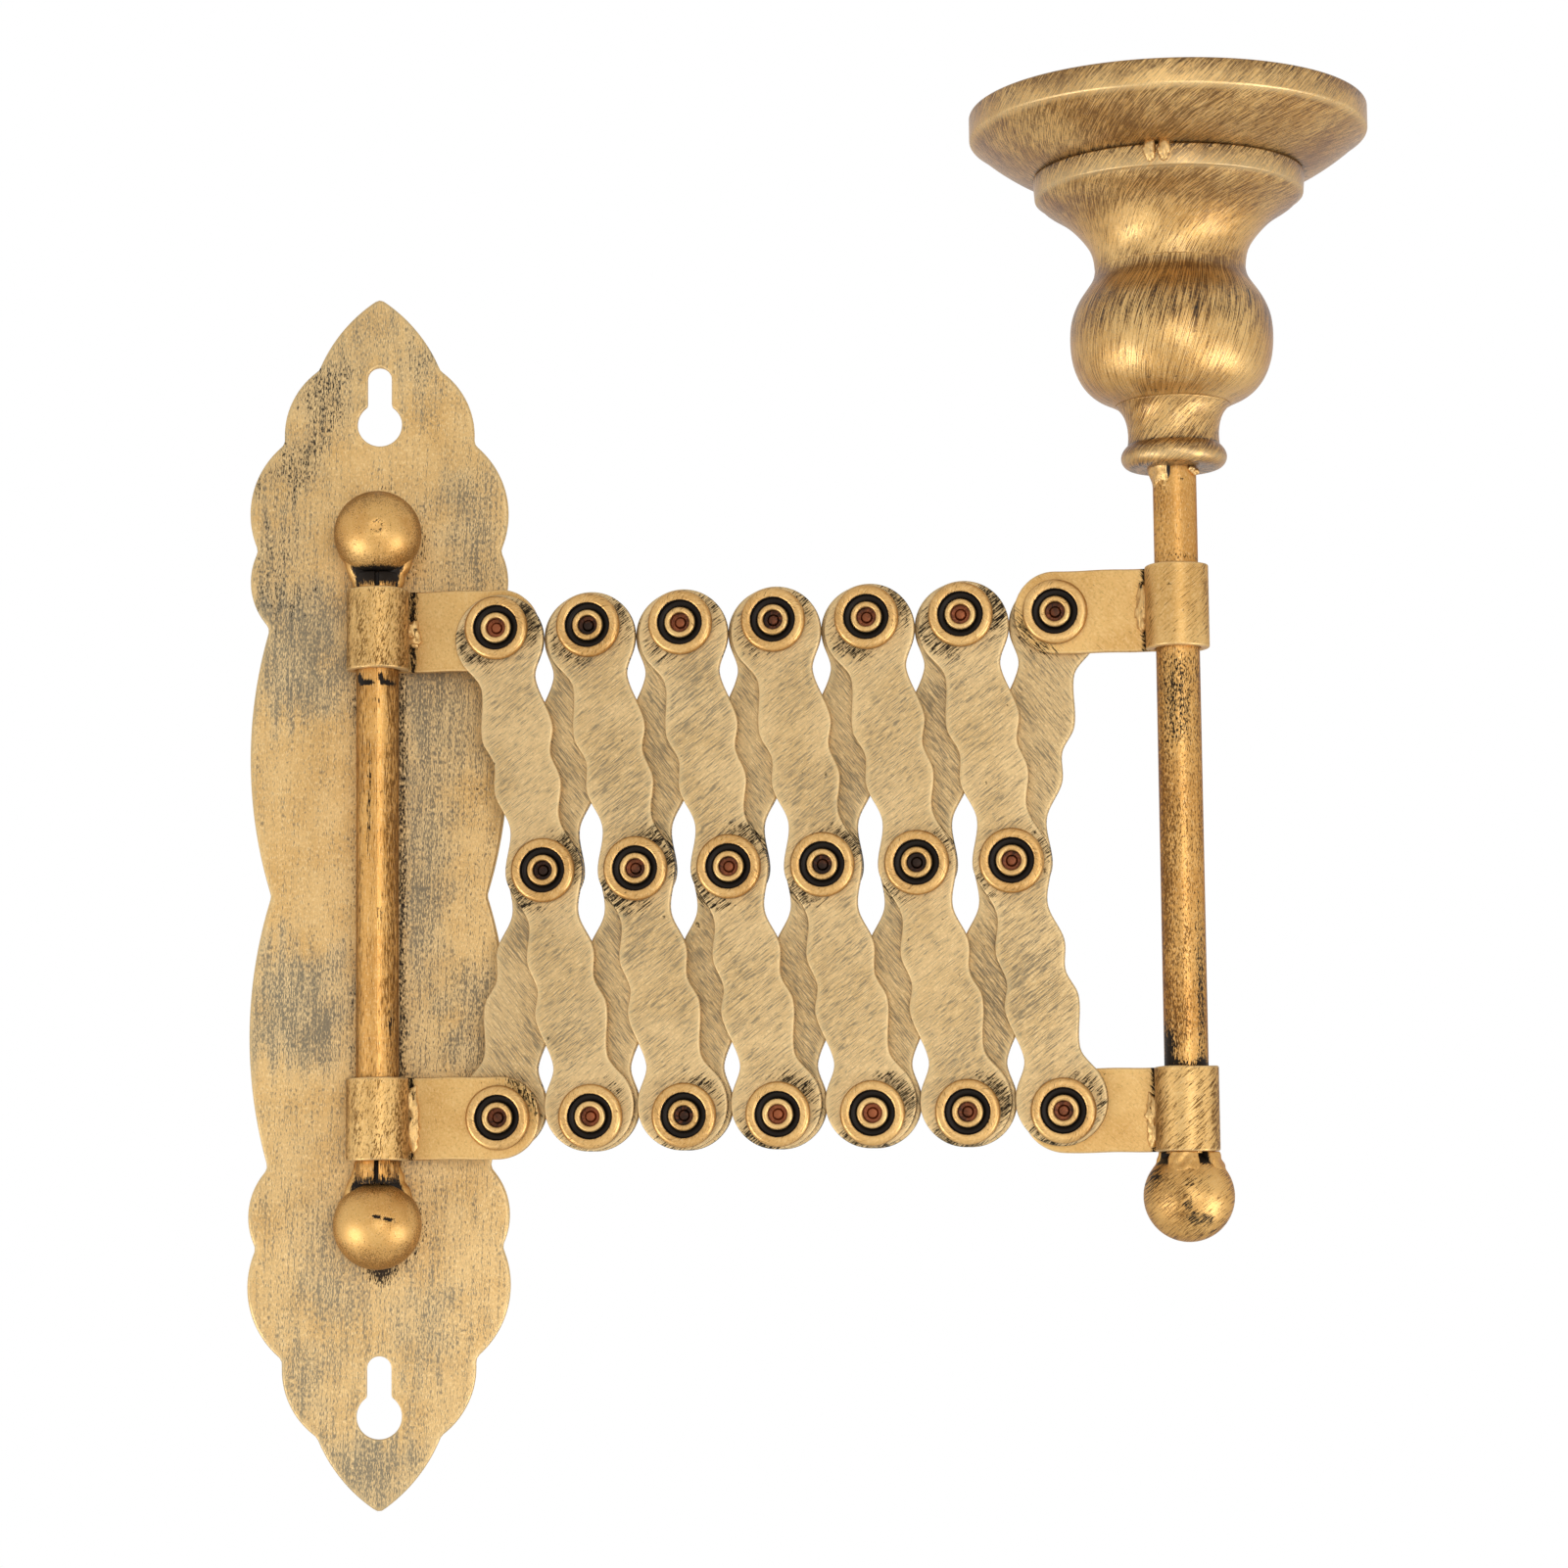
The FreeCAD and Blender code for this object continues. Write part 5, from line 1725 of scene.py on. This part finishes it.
@dataclass
class CandleStem:
    """Candle stem with the ball at its foot."""

    foot_up: float = -45.256
    long: float = 118.212
    tube_r: float = LAYOUT.tube_r
    bore_r: float = LAYOUT.bore_r
    seam: float = 0.04
    # residue, up and across
    stains: tuple = (
        (0.30, (29.0, 8.0, 6.0), (-0.2, 2.2, 4.0)), (0.22, (29.0, 9.5, 6.0), None),
        (0.95, (-28.0, 5.0), (-2.8, 1.3)), (0.6, (-31.0, 1.2), None), (0.6, (-20.0, 22.0), (2.6, 0.8)),
        (0.7, (52.6, 0.6), None))
    # welds of the ball, as the arguments of BallFinial.ear after its number
    ears: tuple = ((0.0, 58.0, 70.0, 5.0, 7.2), (-98.0, 40.0, 56.0, 4.9, 7.2), (130.0, 60.0, 60.0, 4.8, 7.2))

    def to_frame(self, points: Array) -> Array:
        """Places round the stem's axis in the frame."""
        return LAYOUT.to_frame(points + [LAYOUT.stem_reach, 0.0, 0.0])

    def build(self) -> None:
        """Makes the seamed tube, stained where the brush missed it, and its ball."""
        ends = np.array([0.0, 0.0, 0.15])
        up = np.r_[ends, np.linspace(0.6, self.long - 0.6, 170), self.long - ends[::-1]]
        outer, inner = np.full_like(up, self.tube_r), np.full_like(up, self.bore_r)
        outer[[1, -2]] -= 0.15
        inner[[1, -2]] += 0.15
        outer[[0, -1]] = inner[[0, -1]] = (self.tube_r + self.bore_r) / 2.0
        tube = split_tube(up, outer, inner, np.full_like(up, self.seam), 75.0)
        tube.grain[:, 2] *= 2.5
        tube.points[:, 2] += self.foot_up
        z, across = tube.points[:, 2], tube.points[:, 0]
        soot_and_shade = spots(self.stains, z, across)
        soot_and_shade += 0.8 * hill(z, 66.0, 1.2) * ease(0.2, 1.0, wobble(tube.points, 3.0, 12))
        # thinner coat on the left half, and painted shade down the right edge
        thin_coat_and_shade = 0.75 * ease(0.0, -2.0, across) + 0.5 * ease(2.4, 3.4, across)
        thin_coat_and_shade += 0.35 * ease(48.0, 36.0, z) - 0.3 * ease(48.0, 54.0, z)
        tube.painted(soot_and_shade + 0.2 * ease(48.0, 36.0, z), thin_coat_and_shade + 0.25 * wobble(np.c_[across, z / 6.0], 4.0, 14))
        set_piece("seamed_stem", "candle_stem", tube.moved(self.to_frame))
        centre = self.foot_up - LAYOUT.seat_reach
        ball = BallFinial("stem_ball", "stem_ball_finial", 1.0, 4.7, 38.0)
        ball.build(self.ears, lambda p: self.to_frame(p + [0.0, 0.0, centre]))


@dataclass
class CandleCup:
    """Turned cup: ferrule, bulb, tier and drip pan on one countersunk screw."""

    foot_up: float = 66.956
    neck_tall: float = 11.4
    bulb_tall: float = 22.9
    tier_tall: float = 15.7
    wall: float = 1.2
    pan_tall: float = 11.0
    pan_r: float = 33.1
    pan_in: float = 31.9
    screw_r: float = 2.0
    screw_grip: float = 4.5
    slot: float = 1.0
    slot_deep: float = 0.7
    # pair of lumps on the tier's band: radius, height, bearing in degrees, half angle in radians
    lug_r: float = 22.7
    lug_up: float = 14.7
    lug_bearing: float = -92.8
    lug_half: float = 0.052
    # how much the strokes of the neck, tier and pan are shortened
    stroke_cut: float = 2.2
    # outlines as (radius, height) over each piece's foot, with a corner's rounding third
    neck_bead: tuple = (
        (4.4, 0.7), (6.6, 0.65), (7.8, 0.95), (8.5, 1.65), (8.75, 2.6), (8.4, 3.7), (7.65, 4.6))
    neck_flare: tuple = ((7.6, 4.75), (7.5, 6.0), (7.6, 7.6), (7.95, 9.1), (8.6, 10.4), (9.5, 11.4))
    neck_bore: tuple = ((2.05, 11.4), (2.05, 6.0), (3.65, 6.0), (3.65, 0.6))
    bulb_skin: tuple = (
        (9.6, 0.0), (10.6, 0.55), (12.1, 1.25), (13.6, 2.3), (14.9, 3.8), (15.8, 5.5), (16.5, 7.8),
        (16.8, 10.8), (16.5, 14.4), (15.5, 17.1), (13.9, 19.6), (12.75, 21.6), (12.5, 22.9))
    bulb_top: tuple = ((12.51, 22.8), (12.5, 22.9))
    bulb_lining: tuple = (
        (2.3, 22.9), (2.3, 21.7), (11.3, 21.7), (12.7, 19.5), (15.3, 14.4), (15.6, 10.4), (14.4, 4.0),
        (9.4, 1.2), (2.3, 1.2), (2.3, 0.0))
    tier_foot: tuple = ((12.505, 0.1),)
    tier_curve: tuple = (
        (12.5, 0.0), (12.6, 1.2), (12.85, 2.6), (13.35, 3.9), (14.1, 5.1), (15.4, 6.7), (17.6, 8.8),
        (19.5, 10.1), (21.0, 11.15), (21.85, 12.05))
    tier_band: tuple = ((21.85, 12.05, 0.0), (22.3, 12.2, 0.3), (22.6, 15.6, 0.4), (22.1, 15.7, 0.0))
    tier_lining: tuple = (
        (21.4, 15.7), (21.0, 13.6), (18.6, 11.0), (13.0, 6.6), (11.3, 1.2), (2.3, 1.2), (2.3, 0.0))
    pan_under: tuple = ((22.2, 0.05), (24.2, 0.75), (27.5, 2.6), (30.3, 4.6), (32.0, 6.0))
    pan_foot: tuple = ((2.05, 0.0), (21.9, 0.0))
    # bands of residue and of bare undercoat by height; at the waist the bulb's bands are painted shade of a
    # groove
    neck_soot: tuple = ((0.6, (4.65, 0.3)), (0.5, (6.3, 1.2)), (0.45, (3.4, 0.9)))
    neck_bare: tuple = ((0.45, None), (0.5, (4.0, 1.6)))
    bulb_soot: tuple = ((0.50, (15.0, 5.2, 4.0)), (0.15, (20.6, 1.0)), (0.5, (0.6, 0.5)))
    bulb_bare: tuple = ((0.1, None), (0.6, (15.0, 5.2, 4.0)), (0.8, (21.4, 1.5, 4.0)))
    tier_soot: tuple = ((0.36, (3.6, 1.6)), (0.25, (9.6, 2.4)))
    tier_bare: tuple = ((0.1, None), (0.2, (14.2, 1.5)))

    def set(self, name: str, node: str, surface: Surface, up: float) -> None:
        """Stands a turned piece on the stem's axis with its foot at a height."""
        lifted = [LAYOUT.stem_reach, 0.0, up]
        set_piece(name, node, surface.moved(lambda p: LAYOUT.to_frame(p + lifted)))

    def build(self) -> None:
        """Makes the stacked pieces from the foot up."""
        self.ferrule(self.foot_up)
        bulb_up = self.foot_up + self.neck_tall
        self.bulb(bulb_up)
        tier_up = bulb_up + self.bulb_tall
        self.tier(tier_up)
        pan_up = tier_up + self.tier_tall
        self.pan(pan_up)
        self.screw(bulb_up - self.screw_grip, pan_up)

    def ferrule(self, up: float) -> None:
        """Neck: a bead for a flange, a crease, and a hollow flare up to the bulb.

        Args:
            up: height of its foot.
        """
        profile = np.vstack([spline(self.neck_bead, 0.25), spline(self.neck_flare, 0.3), self.neck_bore])
        h = profile[:, 1]
        soot_and_shade = spots(self.neck_soot, h) + 0.7 * ease(1.2, 0.7, h)
        # painted highlight: a bright line round the lower side of the bead
        wear_and_highlight = 0.6 * hill(h, 1.9, 0.7)
        piece = turned(profile, 96, 40.0, soot_and_shade=soot_and_shade, bare_and_shade=spots(self.neck_bare, h), wear_and_highlight=wear_and_highlight)
        piece.grain[:, 2] *= self.stroke_cut
        welds = [weld_ear((3.55, -2.6), (4.5, 0.9), 200.0, 70.0, 3.3, 80),
                 weld_ear((3.55, -1.5), (4.3, 0.9), 80.0, 50.0, 3.3, 81),
                 lump((3.5, -1.8, -0.1), (0.6, 0.5, 0.7), 82), lump((2.9, -2.5, 0.2), (0.6, 0.5, 0.5), 83)]
        self.set("neck_turning", "neck_ferrule", Surface.joined([piece, *welds]), up)

    def bulb(self, up: float) -> None:
        """Bulb: the spline through its outline, with a thin inner wall.

        Args:
            up: height of its foot.
        """
        skin = np.vstack([spline(self.bulb_skin, 0.35)[:-1], self.bulb_top])
        profile = np.vstack([skin, self.bulb_lining])
        h = profile[:, 1]
        outer = np.arange(len(profile)) < len(skin)
        soot_and_shade, bare_and_shade = spots(self.bulb_soot, h) * outer, spots(self.bulb_bare, h) * outer
        self.set("bulb_turning", "cup_bulb", turned(profile, 128, 14.0, soot_and_shade=soot_and_shade, bare_and_shade=bare_and_shade), up)

    def tier(self, up: float) -> None:
        """Tier: a hollow curve out of the waist, an eased shoulder and an upright band.

        Args:
            up: height of its foot.
        """
        curve = spline(self.tier_curve, 0.35)
        skin = np.vstack([curve[:1], self.tier_foot, curve[1:-1], rounded(self.tier_band, False, 5)])
        profile = np.vstack([skin, self.tier_lining])
        h = profile[:, 1]
        outer = np.arange(len(profile)) < len(skin)
        # the dark band at the foot, by the waist, is painted shade of a groove
        soot_and_shade = (spots(self.tier_soot, h) + 0.10 * ease(1.6, 0.1, h) + 0.58 * ease(12.4, 14.0, h)) * outer
        bare_and_shade = (spots(self.tier_bare, h) + 0.45 * ease(2.4, 0.4, h) + 0.6 * ease(5.5, 9.0, h)) * outer
        # painted highlight: a bright line along the band's lower edge
        wear_and_highlight = 0.9 * hill(h, 12.25, 0.35) * outer
        piece = turned(profile, 144, 36.0, soot_and_shade=soot_and_shade, bare_and_shade=bare_and_shade, wear_and_highlight=wear_and_highlight)
        piece.grain[:, 2] *= self.stroke_cut
        lug = []
        for k, side in enumerate((-self.lug_half, self.lug_half)):
            at = math.radians(self.lug_bearing) + side
            spot = (self.lug_r * math.cos(at), self.lug_r * math.sin(at), self.lug_up)
            lug.append(lump(spot, (1.0, 0.9, 2.0), 90 + k, 0.08))
        self.set("tier_turning", "cup_tier", Surface.joined([piece, *lug]), up)

    def pan(self, up: float) -> None:
        """Drip pan: a dished underside, an upright rim with eased edges, a flat floor.

        Args:
            up: height of its foot.
        """
        under = spline(self.pan_under, 0.4)
        rim = rounded([(32.0, 6.0, 0.0), (self.pan_r, 6.75, 0.6), (self.pan_r, self.pan_tall, 0.45),
                       (self.pan_in, self.pan_tall, 0.45), (self.pan_in, 7.3, 0.8),
                       (22.0, self.wall, 2.5), (3.25, self.wall, 0.08), (2.05, 0.05, 0.0)], False, 7)
        profile = np.vstack([under, rim[1:], self.pan_foot])
        r, h = profile[:, 0], profile[:, 1]
        outer = np.arange(len(profile)) < len(under)
        soot_and_shade = 0.4 * hill(r, 22.6, 0.5) * outer + 0.62 * hill(h, 9.4, 2.2) * (r > 32.5) + 0.30 * outer
        bare_and_shade = 0.7 * outer + 0.9 * (r > 32.6) * ease(7.0, 7.6, h) + 0.3 * (h < 8.0) * ~outer
        # painted highlight: a bright line along the rim's lower edge
        wear_and_highlight = 0.9 * hill(h, 6.7, 0.4) * (r > 32.0)
        piece = turned(profile, 160, 42.0, soot_and_shade=soot_and_shade, bare_and_shade=bare_and_shade, wear_and_highlight=wear_and_highlight)
        piece.grain[:, 2] *= self.stroke_cut
        self.set("pan_turning", "drip_pan", piece, up)

    def screw(self, foot: float, pan_up: float) -> None:
        """Countersunk screw whose slot is pressed into the head's flat top.

        Args:
            foot: height of its foot.
            pan_up: height of the pan's foot.
        """
        tall = pan_up + self.wall - foot
        head_r = self.screw_r + self.wall
        flat = np.linspace(head_r - 0.12, 0.0, 26)
        profile = np.vstack([[(0.0, 0.0), (self.screw_r - 0.4, 0.0), (self.screw_r, 0.5),
                              (self.screw_r, tall - self.wall), (head_r, tall - 0.08)],
                             np.c_[flat, np.full(26, tall)]])
        piece = turned(profile, 96, 0.0, False)
        pressed = ease(self.slot / 2.0 + 0.06, self.slot / 2.0 - 0.06, np.abs(piece.points[:, 1]))
        piece.points[:, 2] -= self.slot_deep * pressed * (piece.points[:, 2] > tall - 0.04)
        self.set("slotted_screw", "cup_screw", piece, foot)


@dataclass
class Studio:
    """Camera, lamps, pale floor and white surround."""

    image: float = 1601.0
    focal: float = 4000.0
    sensor: float = 36.0
    turns: tuple = (-5.978, -3.336, -0.23)
    shift: tuple = (-68.881, 19.198, 667.68)
    floor_up: float = -0.42
    floor_r: float = 0.75
    floor_glow: float = 0.6
    around: float = 0.25
    middle: tuple = (0.07, -0.03, 0.01)
    # name, direction, distance, size and power of each lamp
    lamps: tuple = (
        ("left_lamp", (-0.80, -0.36, -0.46), 0.65, 0.42, 1.6),
        ("right_lamp", (0.74, -0.44, -0.48), 0.65, 0.42, 1.7),
        ("front_lamp", (0.14, -0.98, -0.02), 1.0, 0.50, 1.8))

    def camera(self) -> None:
        """Sets the camera from the fitted turns and shift.

        A place in the frame goes to the camera's right, down and forward directions by
        the turns and then the shift; the camera's own axes are their rows.
        """
        swap = Matrix(((1.0, 0.0, 0.0), (0.0, 0.0, -1.0), (0.0, 1.0, 0.0)))
        view = Euler([math.radians(a) for a in self.turns], "XYZ").to_matrix() @ swap
        axes = Matrix((view[0], -view[1], -view[2])).transposed()
        place = -(view.transposed() @ Vector(self.shift)) * MM
        data = bpy.data.cameras.new("camera")
        data.sensor_width = self.sensor
        data.lens = self.focal * self.sensor / self.image
        data.clip_start, data.clip_end = 0.01, 20.0
        camera = bpy.data.objects.new("camera", data)
        camera.matrix_world = Matrix.Translation(place) @ axes.to_4x4()
        bpy.context.scene.collection.objects.link(camera)
        bpy.context.scene.camera = camera

    def light(self) -> None:
        """Hangs the lamps round the object, aimed at its middle."""
        middle = Vector(self.middle)
        for name, way, far, size, power in self.lamps:
            data = bpy.data.lights.new(name, "AREA")
            data.shape, data.size, data.energy = "DISK", size, power
            lamp = bpy.data.objects.new(name, data)
            way = Vector(way).normalized()
            lamp.location = middle + way * far
            lamp.rotation_euler = way.to_track_quat("Z", "Y").to_euler()
            lamp.visible_camera = False
            bpy.context.scene.collection.objects.link(lamp)

    def seen(self, tree: bpy.types.NodeTree) -> Socket:
        """Marks the rays that see the background: camera, glossy and transmitted ones.

        Args:
            tree: nodes to add to.

        Returns:
            A value of 1 for those rays.
        """
        path = tree.nodes.new("ShaderNodeLightPath")
        rays: Socket = path.outputs["Is Camera Ray"]
        for outlet in ("Is Glossy Ray", "Is Transmission Ray"):
            either = tree.nodes.new("ShaderNodeMath")
            either.operation = "MAXIMUM"
            tree.links.new(rays, either.inputs[0])
            tree.links.new(path.outputs[outlet], either.inputs[1])
            rays = either.outputs[0]
        return rays

    def floor(self) -> None:
        """Lays a pale round floor: rings of radius r at heights that dip at the rim."""
        r = np.linspace(0.0, self.floor_r, 24)[:, None]
        a = np.linspace(0.0, TURN, 96, endpoint=False)[None]
        dip = -0.004 * (r / self.floor_r) ** 6
        places = round_axis(r, a, self.floor_up + dip) + [self.middle[0], self.middle[1], 0.0]
        points = places.reshape(-1, 3) / MM
        sheet = Surface(points, [quads(r.size, a.size, False, True)], points * 0.0, points * 0.0).welded()
        floor = bpy.data.objects.new("floor", make_mesh("floor", sheet))
        bench = NodeBench("pale_floor")
        place = bench.add("ShaderNodeTexCoord", {}, "Object")
        cloud = bench.noise(place, (3.0, 3.0, 3.0), 3.0)
        tone = bench.mix(cloud, srgb(243, 242, 240), srgb(236, 235, 233))
        glow = bench.value("MULTIPLY", self.seen(bench.tree), self.floor_glow)
        shader = bench.add("ShaderNodeBsdfPrincipled", {
            "Base Color": tone, "Roughness": 0.85, "Emission Color": tone, "Emission Strength": glow})
        floor.data.materials.append(bench.close(shader))
        bpy.context.scene.collection.objects.link(floor)

    def surround(self) -> None:
        """White world for what the camera and reflections see, dimmer as a light."""
        world = bpy.data.worlds.new("surround")
        world.use_nodes = True
        tree = world.node_tree
        tree.nodes.clear()
        strength = tree.nodes.new("ShaderNodeMapRange")
        strength.inputs["To Min"].default_value = self.around
        tree.links.new(self.seen(tree), strength.inputs["Value"])
        back = tree.nodes.new("ShaderNodeBackground")
        back.inputs["Color"].default_value = (1.0, 1.0, 1.0, 1.0)
        tree.links.new(strength.outputs[0], back.inputs["Strength"])
        out = tree.nodes.new("ShaderNodeOutputWorld")
        tree.links.new(back.outputs[0], out.inputs["Surface"])
        bpy.context.scene.world = world
        bpy.context.scene.view_settings.view_transform = "Standard"

    def build(self) -> None:
        """Sets the stage."""
        self.camera()
        self.light()
        self.floor()
        self.surround()
        log.info("camera, %d lamps, floor and surround are set", len(self.lamps))


def collars() -> list[StrapCollar]:
    """Lists the four collars, with each weld's lumps as (up, half height, half width).

    Returns:
        The collars.
    """
    rows = (
        (Row.UPPER, End.WALL, Layer.REAR, 37.0, ((-0.2, 2.0, 1.3), (-1.6, 0.8, 1.5)), 0.0),
        (Row.LOWER, End.WALL, Layer.FRONT, 17.0, ((2.4, 3.0, 1.2), (-1.4, 3.4, 1.6)), 0.0),
        (Row.UPPER, End.STEM, Layer.FRONT, 17.0, ((0.6, 3.4, 1.5), (-2.6, 1.2, 1.2)), 0.7),
        (Row.LOWER, End.STEM, Layer.REAR, 37.0, ((-0.4, 2.8, 1.5), (-3.4, 2.2, 1.5)), 0.0))
    made = []
    for row, end, layer, butt, weld, clean in rows:
        node = "%s_%s_collar" % (row.name.lower(), end.name.lower())
        made.append(StrapCollar(node, row, end, layer, butt, weld, clean))
    return made


def main() -> None:
    """Builds the stage and every sub-assembly."""
    logging.basicConfig(level=logging.INFO, format="%(name)s: %(message)s")
    Studio().build()
    WallPlate().build()
    PivotPost().build()
    for collar in collars():
        collar.build()
    LinkRow().build()
    PivotRivets().build()
    CandleStem().build()
    CandleCup().build()


if __name__ == "__main__":
    main()
